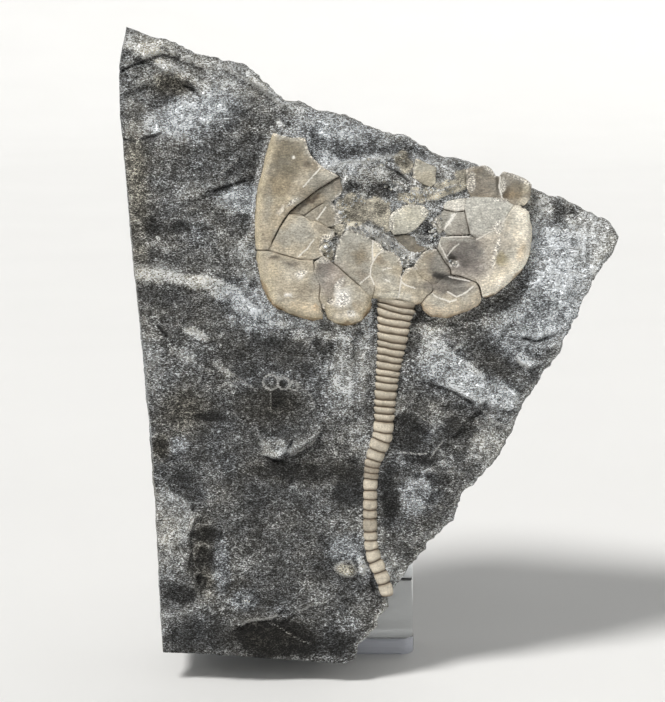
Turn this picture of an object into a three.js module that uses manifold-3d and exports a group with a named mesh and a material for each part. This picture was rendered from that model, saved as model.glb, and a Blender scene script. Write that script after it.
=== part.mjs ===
// A crushed fossil cystoid on its limestone block, stood on a clear acrylic easel.
// Millimetres, +Z up. The fossil faces -Y, and the origin is on the table under the middle.
//
// The block leans back by LEAN. Everything on its face is laid out in face coordinates:
// s to the right, t up the face, n out of the face.
import * as THREE from "three";
import { mergeVertices } from "three/addons/utils/BufferGeometryUtils.js";
import Module from "manifold-3d";

const wasm = await Module();
wasm.setup();

// ---------------------------------------------------------------- driving dimensions
const LEAN = THREE.MathUtils.degToRad(10);   // how far the block leans back
const FACE_AT = [0.042, -28.016, 2.95];      // where s = t = n = 0 lies
const GAP = 0.3;                             // between pieces that touch

const BLOCK_THICK = 19;                      // face to back
const BLOCK_GRID = [22, 28, 4];              // squares across, up and through the block
const EDGE_ROUND = 0.7;                      // the face's broken rim turns inwards by this much
const BACK_ROUND = 1.8;                      // and the back's rim by this much
const RIM_DROP = 0.8;                        // the face falls away this much at its rim

const BED_DEPTH = 1.5;                       // the bed of the plates and the stem, below the face
const PLATE_FOOT = BED_DEPTH - GAP;          // the plates' undersides, below the face
const PLATE_BEVEL = [0.2, 0.5];              // a plate's bevelled rim: how far in, how far down
const ROOM_HIGH = 8;                         // a cut in the block reaches this far up, past its face

const SHEET = 2.4;                           // acrylic sheet
const EASEL_SIDES = [-25.3, 6.7];            // the strip's left and right edges, along s
const LEDGE_FRONT = 13.6;                    // front edge of the ledge, behind the block's foot
const REST_TOP = 56;                         // top of the back rest, up the face
const LEG_FOOT = 55;                         // rear leg's foot, behind the block's foot
const BEND_RADIUS = 3.3;                     // the strip's bends, at mid sheet
const BEND_STEP = 0.3;                       // radians from one edge of a faceted bend to the next
const CORNER_RADIUS = 2.2;                   // the ledge's rounded front corners
const EASEL_ROOM = [6, 90];                  // the trimming column passes the leg and the crest

// ---------------------------------------------------------------- the block's outline
// Corner to corner, in face coordinates. The left side was sawn, the others were broken.
const TOP_EDGE = [
  [-34.3, 89.6], [-29.2, 88.0], [-22.7, 85.6], [-18.1, 84.4], [-13.0, 80.2], [-9.9, 79.0],
  [-2.5, 76.8], [5.8, 73.8], [9.6, 71.9], [14.1, 70.9], [17.5, 68.9], [23.8, 66.5],
  [28.6, 64.9], [31.9, 63.3], [33.9, 62.0], [35.2, 60.1],
];
const RIGHT_EDGE = [
  [-3.5, -0.3], [0.0, 4.0], [1.3, 6.3], [2.7, 9.3], [5.6, 13.4], [9.2, 17.8], [12.4, 22.2],
  [13.2, 24.2], [17.8, 28.9], [22.1, 36.9], [27.0, 44.4], [28.9, 48.2], [31.3, 53.6],
  [33.0, 56.0], [34.5, 58.1], [35.2, 60.1],
];
const BOTTOM_EDGE = [[-29.2, 1.3], [-20.2, 0.9], [-9.5, 0.1], [-3.5, -0.3]];
const LEFT_EDGE = [[-29.2, 1.3], [-30.8, 29.4], [-33.2, 55.3], [-35.3, 80.0], [-34.3, 89.6]];
const BACK_LIFT = 3.7;                       // raises the back's lower edge, so the foot is level

// Swells and hollows of the face: centre s, t, then reach along s, along t, and height.
const SWELLS = [
  [-31, 81, 5, 2.4, -1.1], [-30, 86.5, 5, 2.2, 0.6], [-16, 81.5, 5, 2.0, 0.5],
  [-26, 62, 7, 3.0, -0.5], [-25, 54.5, 9, 1.6, 0.6], [-21, 70, 6, 2.4, -0.5],
  [-11.5, 35, 4, 3.0, -0.6], [-13, 30.2, 3, 1.5, 0.6], [-27, 25.5, 4, 3.5, -0.5],
  [-24, 15, 3, 5.0, 0.4], [-13, 3.5, 6, 2.5, -0.5], [13, 43, 6, 4.0, 0.6],
  [10, 32, 5, 2.5, -0.5], [7, 24.5, 3, 3.0, 0.5], [28, 60, 5, 4.0, -0.5], [0, 68, 4, 3.5, 0.5],
];

// ---------------------------------------------------------------- the theca's plates
// Each outline runs round a plate. Neighbours share their corners, and each is drawn in by
// half a gap. "top" is how far the plate stands out of the face.
const CREAM = "#c6b9a2";
const DUN = "#9a8c7a";
const GREY_BROWN = "#7d7269";
const BROWN = "#5f5148";
const PLATES = {
  plate_left_horn: { top: 2.0, colour: DUN, outline: [
    [-13.6, 74.5], [-12.2, 73.9], [-9.0, 73.6], [-8.5, 71.7], [-7.1, 70.0], [-4.3, 68.3],
    [-7.0, 66.6], [-9.3, 64.9], [-11.4, 63.1], [-12.9, 60.6], [-14.2, 57.95], [-16.0, 58.0],
    [-16.1, 62.0], [-15.8, 66.5], [-15.2, 68.6], [-14.5, 71.6]] },
  plate_left_strip: { top: 1.2, colour: BROWN, outline: [
    [-4.3, 68.3], [-3.9, 66.5], [-4.0, 65.9], [-5.3, 64.7], [-6.7, 64.5], [-8.0, 63.7],
    [-9.2, 62.8], [-11.4, 63.1], [-9.3, 64.9], [-7.0, 66.6]] },
  plate_left_veined: { top: 1.6, colour: GREY_BROWN, outline: [
    [-9.2, 62.8], [-8.0, 63.7], [-6.7, 64.5], [-5.3, 64.7], [-4.1, 62.9], [-3.7, 62.0],
    [-4.7, 61.5], [-6.0, 61.2], [-7.3, 62.0], [-8.6, 62.3]] },
  plate_left_middle: { top: 1.8, colour: DUN, outline: [
    [-11.4, 63.1], [-9.2, 62.8], [-8.6, 62.3], [-7.3, 62.0], [-6.0, 61.2], [-5.2, 60.8],
    [-4.9, 60.0], [-5.6, 59.4], [-7.0, 58.5], [-6.5, 57.2], [-7.9, 56.7], [-10.2, 56.8],
    [-12.0, 57.3], [-14.2, 57.95], [-12.9, 60.6]] },
  plate_left_lower: { top: 1.9, colour: DUN, outline: [
    [-16.0, 58.0], [-14.2, 57.95], [-12.0, 57.3], [-10.2, 56.8], [-7.9, 56.7], [-7.8, 55.0],
    [-7.0, 53.0], [-7.1, 51.3], [-6.8, 50.4], [-6.5, 48.4], [-8.0, 48.2], [-9.2, 48.5],
    [-11.6, 49.3], [-13.6, 50.4], [-14.9, 52.6], [-15.6, 55.0]] },
  plate_lobe: { top: 1.9, colour: CREAM, outline: [
    [-6.0, 49.3], [-5.0, 47.9], [-3.0, 47.5], [-1.2, 48.2], [0.1, 49.9], [0.3, 51.2],
    [-1.6, 53.2], [-3.2, 54.6], [-5.1, 56.2], [-6.5, 57.2], [-7.6, 56.0], [-7.3, 54.8],
    [-6.6, 53.0], [-6.4, 51.0]] },
  plate_centre_left: { top: 1.5, colour: GREY_BROWN, outline: [
    [-5.1, 56.2], [-4.6, 58.4], [-4.3, 59.9], [-3.4, 60.8], [-2.8, 61.1], [-1.3, 60.5],
    [0.3, 59.5], [0.4, 56.4], [0.1, 55.8], [0.0, 54.5], [0.6, 52.8], [0.3, 51.2], [-1.6, 53.2],
    [-3.2, 54.6]] },
  plate_wedge: { top: 1.6, colour: CREAM, outline: [
    [0.3, 59.5], [0.4, 56.4], [2.0, 58.0], [1.5, 58.9]] },
  plate_basal_left: { top: 1.9, colour: CREAM, outline: [
    [0.4, 51.3], [0.6, 52.8], [0.0, 54.5], [0.1, 55.8], [0.4, 56.4], [2.0, 58.0], [3.5, 57.8],
    [4.2, 56.9], [4.5, 55.8], [4.3, 54.2], [4.0, 52.5], [3.9, 51.2]] },
  plate_basal_right: { top: 1.8, colour: DUN, outline: [
    [3.9, 51.2], [4.0, 52.5], [4.3, 54.2], [5.0, 55.4], [6.0, 55.8], [7.2, 54.2], [8.6, 53.2],
    [8.8, 52.4], [8.0, 51.6], [6.85, 50.3], [5.5, 50.8]] },
  plate_centre_right: { top: 1.7, colour: DUN, outline: [
    [6.0, 55.8], [6.7, 56.7], [7.5, 57.7], [8.4, 58.1], [9.3, 58.2], [10.2, 56.7], [11.2, 55.3],
    [11.3, 54.6], [10.0, 54.0], [9.3, 53.3], [8.6, 53.2], [7.2, 54.2]] },
  plate_right_rim_lower: { top: 1.9, colour: DUN, outline: [
    [8.8, 52.4], [8.6, 53.2], [9.3, 53.3], [10.0, 54.0], [11.3, 54.6], [12.4, 54.4],
    [13.9, 53.9], [14.8, 53.5], [15.2, 52.3], [15.6, 51.0], [15.0, 50.3], [13.8, 49.6],
    [12.2, 49.0], [10.8, 48.6], [9.5, 48.6], [8.3, 48.9], [6.85, 50.3], [8.0, 51.6]] },
  plate_right_great: { top: 2.1, colour: CREAM, outline: [
    [15.9, 51.4], [17.5, 51.9], [18.9, 53.0], [20.3, 54.2], [21.4, 55.5], [22.1, 56.8],
    [22.5, 58.5], [22.6, 61.0], [22.2, 63.4], [21.2, 64.1], [20.0, 64.3], [17.9, 61.1],
    [14.8, 59.5], [14.0, 59.9], [9.9, 59.9], [9.6, 59.0], [9.3, 58.2], [10.2, 56.7],
    [11.2, 55.3], [11.3, 54.6], [12.4, 54.4], [13.9, 53.9], [14.8, 53.6], [15.2, 52.9]] },
  plate_right_upper: { top: 1.4, colour: DUN, outline: [
    [13.3, 65.2], [14.0, 65.4], [15.5, 65.4], [17.0, 65.3], [18.6, 65.0], [20.0, 64.3],
    [17.9, 61.1], [14.8, 59.5], [13.9, 60.3], [13.2, 63.5]] },
  plate_shard_tall: { top: 1.3, colour: GREY_BROWN, outline: [
    [12.0, 63.4], [13.2, 63.5], [13.9, 60.3], [10.9, 60.1], [10.2, 60.8]] },
  plate_shard_small: { top: 1.2, colour: DUN, outline: [
    [10.3, 63.7], [12.0, 63.4], [10.2, 60.8], [9.6, 60.2], [8.8, 61.2], [8.7, 62.2],
    [9.0, 62.4]] },
  plate_bar: { top: 1.5, colour: CREAM, outline: [
    [10.1, 64.2], [11.0, 64.9], [13.3, 65.2], [13.2, 63.5], [12.0, 63.4], [10.3, 63.7]] },
  plate_oval: { top: 1.7, colour: CREAM, outline: [
    [2.6, 62.6], [4.0, 63.9], [5.5, 64.4], [7.2, 64.3], [8.2, 63.4], [7.6, 62.2], [6.6, 61.2],
    [5.5, 60.4], [3.3, 60.2], [2.5, 61.0]] },
  plate_brown_low: { top: 0.9, colour: BROWN, outline: [
    [3.3, 60.0], [5.4, 60.1], [6.4, 60.0], [6.7, 58.9], [8.0, 58.2], [6.6, 57.6], [5.5, 57.7],
    [4.4, 58.7], [3.4, 59.5]] },
  plate_shard_loose: { top: 1.0, colour: DUN, outline: [
    [6.3, 70.9], [7.6, 70.3], [9.2, 69.6], [9.2, 67.4], [8.5, 66.8], [7.2, 67.3], [5.8, 68.2],
    [6.0, 69.4]] },
  plate_brown_broken: { top: 1.2, colour: BROWN, outline: [
    [13.4, 67.0], [13.4, 69.3], [14.2, 69.6], [16.0, 69.9], [16.8, 69.5], [17.5, 68.4],
    [18.1, 68.4], [18.6, 69.0], [20.0, 68.6], [22.0, 67.7], [22.5, 67.2], [22.4, 66.0],
    [22.0, 64.8], [21.2, 64.1], [20.0, 64.3], [18.6, 65.0], [17.0, 65.3], [15.5, 65.4],
    [14.0, 65.4]] },
};

// ---------------------------------------------------------------- the stem
// Stations down the stem: s and t of its middle, its width, and how round it still is
// (1 is round, less is crushed flat).
const STEM = [
  [3.7, 51.0, 5.6, 0.45], [3.6, 49.8, 5.4, 0.47], [3.4, 49.0, 4.9, 0.50], [3.2, 46.3, 4.4, 0.55],
  [2.8, 43.3, 3.8, 0.60], [2.4, 40.2, 3.3, 0.68], [2.1, 36.9, 3.15, 0.75], [2.0, 34.5, 2.9, 0.80],
  [1.75, 32.0, 2.8, 0.85], [1.1, 30.4, 2.55, 0.9], [0.35, 28.2, 2.3, 0.9], [0.05, 25.5, 2.1, 0.9],
  [0.0, 20.5, 2.05, 0.9], [0.1, 17.3, 2.0, 0.9], [0.5, 15.1, 2.05, 0.9], [1.15, 13.6, 1.95, 0.9],
  [1.8, 12.1, 1.95, 0.9], [2.3, 10.4, 1.85, 0.9], [2.5, 9.5, 1.8, 0.9],
];
// Where one ossicle ends and the next begins, as t on the stem's middle line.
const RING_JOINTS = [
  50.75, 50.2, 49.5, 48.5, 47.5, 46.4, 45.2, 44.3, 43.3, 42.4, 41.35, 40.4, 39.5, 38.45, 37.2,
  36.2, 35.2, 34.2,
];
const BARREL_JOINTS = [
  34.2, 32.6, 31.55, 30.1, 28.7, 27.7, 26.9, 26.1, 24.5, 23.2, 21.8, 20.6, 18.7, 17.5, 16.2, 14.6,
  13.1, 11.5, 9.7,
];
const STEM_SIDES = 12;
const STEM_FOOT = 1.2;                       // the rings' undersides, below the face
const STEM_MARGIN = 0.5;                     // room between the stem and its channel
const CHANNEL_END = [2.5, 8.9];              // the channel's lower tip
const RING_WAIST = 0.86;                     // an ossicle's ends, as a share of its middle's width
const BARREL_WAIST = 0.84;

// ---------------------------------------------------------------- small tools
function finish(colour, roughness) {
  return new THREE.MeshStandardMaterial({ color: colour, roughness, metalness: 0 });
}

// Turns a closed three.js geometry into a manifold solid and back.
function toSolid(geometry) {
  const bare = geometry.index ? geometry.toNonIndexed() : geometry.clone();
  bare.deleteAttribute("normal");
  bare.deleteAttribute("uv");
  const merged = mergeVertices(bare, 1e-4);
  return new wasm.Manifold(new wasm.Mesh({
    numProp: 3,
    vertProperties: new Float32Array(merged.attributes.position.array),
    triVerts: new Uint32Array(merged.index.array),
  }));
}

function toGeometry(solid) {
  const mesh = solid.getMesh();
  const geometry = new THREE.BufferGeometry();
  geometry.setAttribute("position", new THREE.BufferAttribute(new Float32Array(mesh.vertProperties), 3));
  geometry.setIndex(new THREE.BufferAttribute(new Uint32Array(mesh.triVerts), 1));
  geometry.computeVertexNormals();
  return geometry;
}

// A hand-drawn edge as a function of 0..1, with equal steps of length.
function edge(points) {
  const curve = new THREE.CatmullRomCurve3(points.map(([s, t]) => new THREE.Vector3(s, t, 0)));
  return (share) => curve.getPointAt(THREE.MathUtils.clamp(share, 0, 1));
}

// Linear reading of a station list: key is the column searched, column the one read.
function along(stations, key, value, column) {
  const next = stations.findIndex((row) => row[key] <= value);
  if (next === 0) return stations[0][column];
  if (next < 0) return stations.at(-1)[column];
  const [above, below] = [stations[next - 1], stations[next]];
  const share = (above[key] - value) / (above[key] - below[key]);
  return above[column] + share * (below[column] - above[column]);
}

// ---------------------------------------------------------------- the limestone block
const topEdge = edge(TOP_EDGE);
const rightEdge = edge(RIGHT_EDGE);
const bottomEdge = edge(BOTTOM_EDGE);
const leftEdge = edge(LEFT_EDGE);

// A patch stretched between the four edges: across * up in, a point of the face out.
function facePatch(across, up) {
  const ends = topEdge(across).multiplyScalar(up).addScaledVector(bottomEdge(across), 1 - up);
  ends.addScaledVector(rightEdge(up), across).addScaledVector(leftEdge(up), 1 - across);
  ends.addScaledVector(topEdge(1), -across * up).addScaledVector(topEdge(0), -(1 - across) * up);
  ends.addScaledVector(bottomEdge(1), -across * (1 - up));
  return ends.addScaledVector(bottomEdge(0), -(1 - across) * (1 - up));
}

// Height of the broken face: the swells, on a slow unevenness.
function relief(s, t) {
  const slow = 0.35 * Math.sin(0.31 * s + 0.6) * Math.cos(0.23 * t) + 0.2 * Math.sin(0.55 * t - 0.4 * s);
  return SWELLS.reduce((sum, [cs, ct, rs, rt, high]) => {
    return sum + high * Math.exp(-(((s - cs) / rs) ** 2) - ((t - ct) / rt) ** 2);
  }, slow);
}

// A box whose six sides are pulled onto the block: the front to the relief, the rest behind it.
function blockGeometry() {
  const geometry = new THREE.BoxGeometry(1, 1, 1, ...BLOCK_GRID);
  const place = geometry.attributes.position;
  const middle = facePatch(0.5, 0.5);
  for (let i = 0; i < place.count; i += 1) {
    const [across, up, depth] = [place.getX(i) + 0.5, place.getY(i) + 0.5, 0.5 - place.getZ(i)];
    const point = facePatch(across, up);
    const rim = Math.max(Math.abs(across - 0.5), Math.abs(up - 0.5)) * 2;
    const turn = depth < 0.01 ? EDGE_ROUND : depth > 0.99 ? BACK_ROUND : 0;
    const inward = middle.clone().sub(point).normalize().multiplyScalar(turn * rim ** 8);
    point.add(inward);
    point.y += BACK_LIFT * depth * (1 - up) ** 2;
    const front = relief(point.x, point.y) - RIM_DROP * rim ** 12;
    const back = -BLOCK_THICK + 0.35 * (1 + Math.sin(0.4 * point.x) * Math.cos(0.3 * point.y));
    place.setXYZ(i, point.x, point.y, THREE.MathUtils.lerp(front, back, depth));
  }
  return geometry;
}

// ---------------------------------------------------------------- plates
const plateShape = (outline) => new THREE.Shape(outline.map(([s, t]) => new THREE.Vector2(s, t)));

function plateGeometry({ top, outline }) {
  const [inward, down] = PLATE_BEVEL;
  const geometry = new THREE.ExtrudeGeometry(plateShape(outline), {
    depth: PLATE_FOOT + top - 2 * down,
    bevelThickness: down,
    bevelSize: inward,
    bevelOffset: -(inward + GAP / 2),
    bevelSegments: 1,
  });
  return geometry.translate(0, 0, down - PLATE_FOOT);
}

// The room a plate takes out of the block: its outline with a gap all round, up through the face.
function plateRoom({ outline }) {
  const geometry = new THREE.ExtrudeGeometry(plateShape(outline), {
    depth: ROOM_HIGH, bevelThickness: 0.1, bevelSize: 0, bevelOffset: GAP, bevelSegments: 1,
  });
  return geometry.translate(0, 0, 0.1 - BED_DEPTH);
}

// ---------------------------------------------------------------- stem ossicles
// Everything about the stem at height t: its middle, its half width, how flat it is, its slant.
function stemAt(t) {
  const reach = 0.8;
  const step = along(STEM, 1, t + reach, 0) - along(STEM, 1, t - reach, 0);
  const droop = THREE.MathUtils.clamp((t - 34) / 14, 0, 1) * 0.09;
  return {
    s: along(STEM, 1, t, 0),
    half: along(STEM, 1, t, 2) / 2,
    round: along(STEM, 1, t, 3),
    slant: -Math.atan2(step, 2 * reach) - droop,
  };
}

// One ossicle: a lathe-turned disc or barrel, crushed flat, laid across the stem's line.
function ossicle(name, upper, lower, waist, colour) {
  const { s, half, round, slant } = stemAt((upper + lower) / 2);
  const tall = (upper - lower) * Math.cos(slant) - GAP;
  const ends = half * waist;
  const profile = [[0, -tall / 2], [ends, -tall / 2], [half, 0], [ends, tall / 2], [0, tall / 2]];
  const geometry = new THREE.LatheGeometry(profile.map(([x, y]) => new THREE.Vector2(x, y)), STEM_SIDES);
  geometry.scale(1, 1, round);
  const mesh = new THREE.Mesh(geometry, finish(colour, 0.6));
  mesh.name = name;
  mesh.rotation.z = slant;
  mesh.position.set(s, (upper + lower) / 2, Math.max(half * round - STEM_FOOT, -0.1));
  return mesh;
}

function ossicles(joints, label, waist, colour) {
  return joints.slice(1).map((lower, i) => {
    return ossicle(`${label}_${String(i + 1).padStart(2, "0")}`, joints[i], lower, waist, colour);
  });
}

// The channel that the stem lies in: a ribbon a little wider than the stem, as deep as the bed.
function stemRoom() {
  const rows = STEM.map(([s, t, wide]) => [s, t, wide / 2 + STEM_MARGIN]);
  const right = rows.map(([s, t, half]) => [s + half, t]);
  const left = rows.map(([s, t, half]) => [s - half, t]).reverse();
  const geometry = new THREE.ExtrudeGeometry(plateShape([...right, CHANNEL_END, ...left]), {
    depth: ROOM_HIGH, bevelEnabled: false,
  });
  return geometry.translate(0, 0, -BED_DEPTH);
}

// ---------------------------------------------------------------- the easel
const heading = (a, b) => Math.atan2(b[1] - a[1], b[0] - a[0]);

// The turn from one heading to another, between -PI and PI.
function turnBetween(before, after) {
  return THREE.MathUtils.euclideanModulo(after - before + Math.PI, 2 * Math.PI) - Math.PI;
}

// Points along a bent strip, with its bends as arcs: y, z and the heading at each.
function bentLine(corners, radius) {
  const line = [];
  corners.forEach((corner, i) => {
    if (i === 0 || i === corners.length - 1) {
      const [a, b] = i === 0 ? [corner, corners[1]] : [corners[i - 1], corner];
      line.push([...corner, heading(a, b)]);
      return;
    }
    const before = heading(corners[i - 1], corner);
    const turn = turnBetween(before, heading(corner, corners[i + 1]));
    const reach = Math.sign(turn) * radius;
    const back = radius * Math.tan(Math.abs(turn) / 2);
    const centreY = corner[0] - back * Math.cos(before) - reach * Math.sin(before);
    const centreZ = corner[1] - back * Math.sin(before) + reach * Math.cos(before);
    const steps = Math.ceil(Math.abs(turn) / BEND_STEP);
    for (let k = 0; k <= steps; k += 1) {
      const now = before + turn * k / steps;
      line.push([centreY + reach * Math.sin(now), centreZ - reach * Math.cos(now), now]);
    }
  });
  return line;
}

function easel() {
  const back = BLOCK_THICK + GAP + SHEET / 2;              // mid sheet of the rest, behind the face
  const restAt = (t) => [
    t * Math.sin(LEAN) + back * Math.cos(LEAN),
    FACE_AT[2] + t * Math.cos(LEAN) - back * Math.sin(LEAN),
  ];
  const bendUp = restAt((SHEET / 2 - FACE_AT[2] + back * Math.sin(LEAN)) / Math.cos(LEAN));
  const crest = restAt(REST_TOP + BEND_RADIUS * 2);
  const line = bentLine([[LEDGE_FRONT, SHEET / 2], bendUp, crest, [LEG_FOOT, -SHEET]], BEND_RADIUS);
  const shifted = (side) => line.map(([y, z, now]) => {
    const off = side * SHEET / 2;
    return new THREE.Vector2(y - off * Math.sin(now), z + off * Math.cos(now));
  });
  const section = new THREE.Shape([...shifted(-1), ...shifted(1).reverse()]);
  const strip = new THREE.ExtrudeGeometry(section, {
    depth: EASEL_SIDES[1] - EASEL_SIDES[0], bevelEnabled: false,
  });
  strip.rotateX(Math.PI / 2).rotateZ(Math.PI / 2).translate(EASEL_SIDES[0], 0, 0);

  const [sideways, upwards] = EASEL_ROOM;
  const [left, right] = EASEL_SIDES;
  const corner = LEDGE_FRONT + CORNER_RADIUS;
  const plan = new THREE.Shape();
  plan.moveTo(left, LEG_FOOT + sideways);
  plan.lineTo(left, corner);
  plan.absarc(left + CORNER_RADIUS, corner, CORNER_RADIUS, Math.PI, 1.5 * Math.PI);
  plan.absarc(right - CORNER_RADIUS, corner, CORNER_RADIUS, 1.5 * Math.PI, 2 * Math.PI);
  plan.lineTo(right, LEG_FOOT + sideways);
  const column = new THREE.ExtrudeGeometry(plan, {
    depth: upwards, bevelEnabled: false, curveSegments: 5,
  });

  const trimmed = toSolid(strip).intersect(toSolid(column));
  const mesh = new THREE.Mesh(toGeometry(trimmed), finish("#e8f0f2", 0.08));
  mesh.name = "easel";
  mesh.position.set(FACE_AT[0], FACE_AT[1], 0);
  return mesh;
}

// ---------------------------------------------------------------- putting it together
const face = new THREE.Group();
face.position.set(...FACE_AT);
face.rotation.x = Math.PI / 2 - LEAN;

const rooms = [...Object.values(PLATES).map(plateRoom), stemRoom()].map(toSolid);
const bed = rooms.reduce((sum, room) => sum.add(room));
const block = new THREE.Mesh(toGeometry(toSolid(blockGeometry()).subtract(bed)), finish("#55554f", 0.9));
block.name = "matrix_slab";
face.add(block);

for (const [name, plate] of Object.entries(PLATES)) {
  const mesh = new THREE.Mesh(plateGeometry(plate), finish(plate.colour, 0.55));
  mesh.name = name;
  face.add(mesh);
}
face.add(...ossicles(RING_JOINTS, "stem_ring", RING_WAIST, CREAM));
face.add(...ossicles(BARREL_JOINTS, "columnal", BARREL_WAIST, CREAM));

const fossil = new THREE.Group();
fossil.add(face, easel());

export default fossil;
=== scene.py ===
# %% [markdown]
# A crushed cystoid on its limestone block, stood on a clear acrylic easel.
#
# A cystoid was a small sea animal in a coat of calcite plates, with a ringed stem. This one
# was flattened in mud that became limestone. Three things have to look right: the grainy
# broken stone, the smooth creamy plates with their cracks and white seams, and the neat
# rings of the stem. The CAD model gives every piece its place. Here each is made again as a
# fine surface in that place, worked out with numpy, with a finish made of nodes.

# %% Load the fixed frame
import math

import bpy
import numpy as np
from mathutils import Matrix, Vector


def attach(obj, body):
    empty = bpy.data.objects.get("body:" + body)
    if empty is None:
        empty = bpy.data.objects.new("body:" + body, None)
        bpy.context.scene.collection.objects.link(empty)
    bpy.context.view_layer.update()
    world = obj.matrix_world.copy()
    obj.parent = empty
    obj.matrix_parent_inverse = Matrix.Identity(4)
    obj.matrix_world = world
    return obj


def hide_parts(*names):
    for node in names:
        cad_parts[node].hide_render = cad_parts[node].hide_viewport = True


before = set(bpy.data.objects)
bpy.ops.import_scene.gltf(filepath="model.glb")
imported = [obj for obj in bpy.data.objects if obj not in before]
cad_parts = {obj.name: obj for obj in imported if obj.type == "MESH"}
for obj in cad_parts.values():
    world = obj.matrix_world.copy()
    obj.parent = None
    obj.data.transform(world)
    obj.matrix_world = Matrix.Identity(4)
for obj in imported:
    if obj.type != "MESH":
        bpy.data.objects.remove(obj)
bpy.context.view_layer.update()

# %% [markdown]
# The block leans back ten degrees, and everything on its face is easiest to draw on the
# face itself. So places are in face millimetres: s runs to the right, t runs up the face and
# n stands out of it.

# %% Face coordinates
LEAN = math.radians(10)
FACE_AT = np.array([0.042, -28.016, 2.95])  # where s = t = n = 0 lies, in mm
ALONG = np.array([1.0, 0.0, 0.0])
UP = np.array([0.0, math.sin(LEAN), math.cos(LEAN)])
OUT = np.array([0.0, -math.cos(LEAN), math.sin(LEAN)])
MM = 0.001


def in_world(s, t, n):
    """A place on the face in metres: the face's corner plus s along it, t up it and n out of it."""
    s, t, n = np.broadcast_arrays(s, t, n)
    return (FACE_AT + s[..., None] * ALONG + t[..., None] * UP + n[..., None] * OUT) * MM


# %% [markdown]
# The camera looks straight at the face, so it looks down by the lean of the block. A long
# lens from 30 cm keeps the block's sides nearly parallel.

# %% Camera
AIM = (-5.25, 43.96)  # the point of the face looked at
DISTANCE = 300.0  # mm from the face
FRAME_HEIGHT = 98.3  # mm of the face from top to bottom
SENSOR = 36.0

camera_data = bpy.data.cameras.new("camera")
camera_data.lens = SENSOR * DISTANCE / FRAME_HEIGHT
camera = bpy.data.objects.new("camera", camera_data)
axes = Matrix((ALONG, UP, OUT)).transposed().to_4x4()
camera.matrix_world = Matrix.Translation(Vector(in_world(*AIM, DISTANCE))) @ axes
bpy.context.scene.collection.objects.link(camera)
bpy.context.scene.camera = camera
print("lens of", round(camera_data.lens, 1), "mm")

# %% [markdown]
# Relief shows best in raking light, so the main light comes from high on the left. A wider
# one from the front keeps the shadow sides readable, a faint one lights the back, and a pale
# world fills the rest. All are far lamps, so the light is even; width softens the shadows.

# %% Lights
def far_lamp(name, at, strength, width, tint):
    """Light from the direction of a face place. Width is how wide the lamp looks, in degrees."""
    data = bpy.data.lights.new(name, "SUN")
    data.energy, data.angle, data.color = strength, math.radians(width), tint
    lamp = bpy.data.objects.new(name, data)
    spot = Vector(in_world(*at))
    towards = spot - Vector(in_world(*AIM, 0))
    lamp.matrix_world = Matrix.Translation(spot) @ towards.to_track_quat("Z", "Y").to_matrix().to_4x4()
    bpy.context.scene.collection.objects.link(lamp)
    return lamp


lamps = [
    far_lamp("key_light", (-190.0, 330.0, 210.0), 2.75, 16, (1.0, 0.985, 0.96)),
    far_lamp("fill_light", (190.0, 60.0, 400.0), 0.95, 60, (0.94, 0.97, 1.0)),
    far_lamp("back_light", (150.0, 330.0, -300.0), 0.85, 50, (1.0, 0.98, 0.95)),
]
world = bpy.data.worlds.new("studio")
world.use_nodes = True
world.node_tree.nodes["Background"].inputs["Color"].default_value = (0.95, 0.97, 1.0, 1.0)
world.node_tree.nodes["Background"].inputs["Strength"].default_value = 0.16
bpy.context.scene.world = world
bpy.context.scene.view_settings.view_transform = "Standard"
print("lamps:", [lamp.name for lamp in lamps])

# %% [markdown]
# Nothing in a rock is regular, so nearly every surface here is pushed about by noise: random
# numbers at the corners of a cubic lattice, joined by smooth steps. Adding it to itself at
# half the size, half as strong, looks like broken stone.

# %% Noise
LATTICE = 32  # cells to a side, then the noise repeats


def value_noise(points, cell, seed):
    """Random heights from -1 to 1 on a lattice of cells, joined by a step of three times the square
    less twice the cube of the share of the way across."""
    table = np.random.default_rng(seed).uniform(-1, 1, (LATTICE,) * 3)
    place = np.asarray(points) / cell
    corner = np.floor(place).astype(int)
    share = place - corner
    share = share * share * (3 - 2 * share)
    total = np.zeros(place.shape[:-1])
    for step in np.ndindex(2, 2, 2):
        weight = np.prod(np.where(np.array(step) == 1, share, 1 - share), axis=-1)
        x, y, z = np.moveaxis((corner + step) % LATTICE, -1, 0)
        total += weight * table[x, y, z]
    return total


def fractal(points, cell, seed, octaves=4):
    """Noise on noise: each octave has half the cell and half the strength of the last."""
    return sum(value_noise(points, cell / 2 ** k, seed + k) / 2 ** k for k in range(octaves))


def flat(s, t):
    """Face places as points for the noise."""
    s, t = np.broadcast_arrays(s, t)
    return np.stack([s, t, np.zeros(s.shape)], axis=-1)


def ease(x, low, high):
    """0 below low, 1 above high, and a smooth step between; high may be the smaller one."""
    share = np.clip((x - low) / (high - low), 0, 1)
    return share * share * (3 - 2 * share)


# %% [markdown]
# Cracks, seams and ledges are drawn as short lines, stains and hollows as ellipses.
# The distance to each can be turned into a groove, a ridge or a band of colour.

# %% Distances to drawn shapes
def side_distance(s, t, s0, t0, ds, dt):
    """Distance to the straight side that starts at s0, t0 and runs by ds, dt."""
    share = np.clip(((s - s0) * ds + (t - t0) * dt) / max(ds * ds + dt * dt, 1e-12), 0, 1)
    return np.hypot(s - s0 - share * ds, t - t0 - share * dt)


def line_distance(s, t, line):
    """Distance to a line of points, and its side: 1 to the left of the way it runs, else -1."""
    best, side = np.full(np.shape(s), 1e9), np.ones(np.shape(s))
    for (s0, t0), (s1, t1) in zip(line, line[1:]):
        ds, dt = s1 - s0, t1 - t0
        away = side_distance(s, t, s0, t0, ds, dt)
        side = np.where(away < best, np.where(ds * (t - t0) < dt * (s - s0), -1, 1), side)
        best = np.minimum(away, best)
    return best, side


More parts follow.
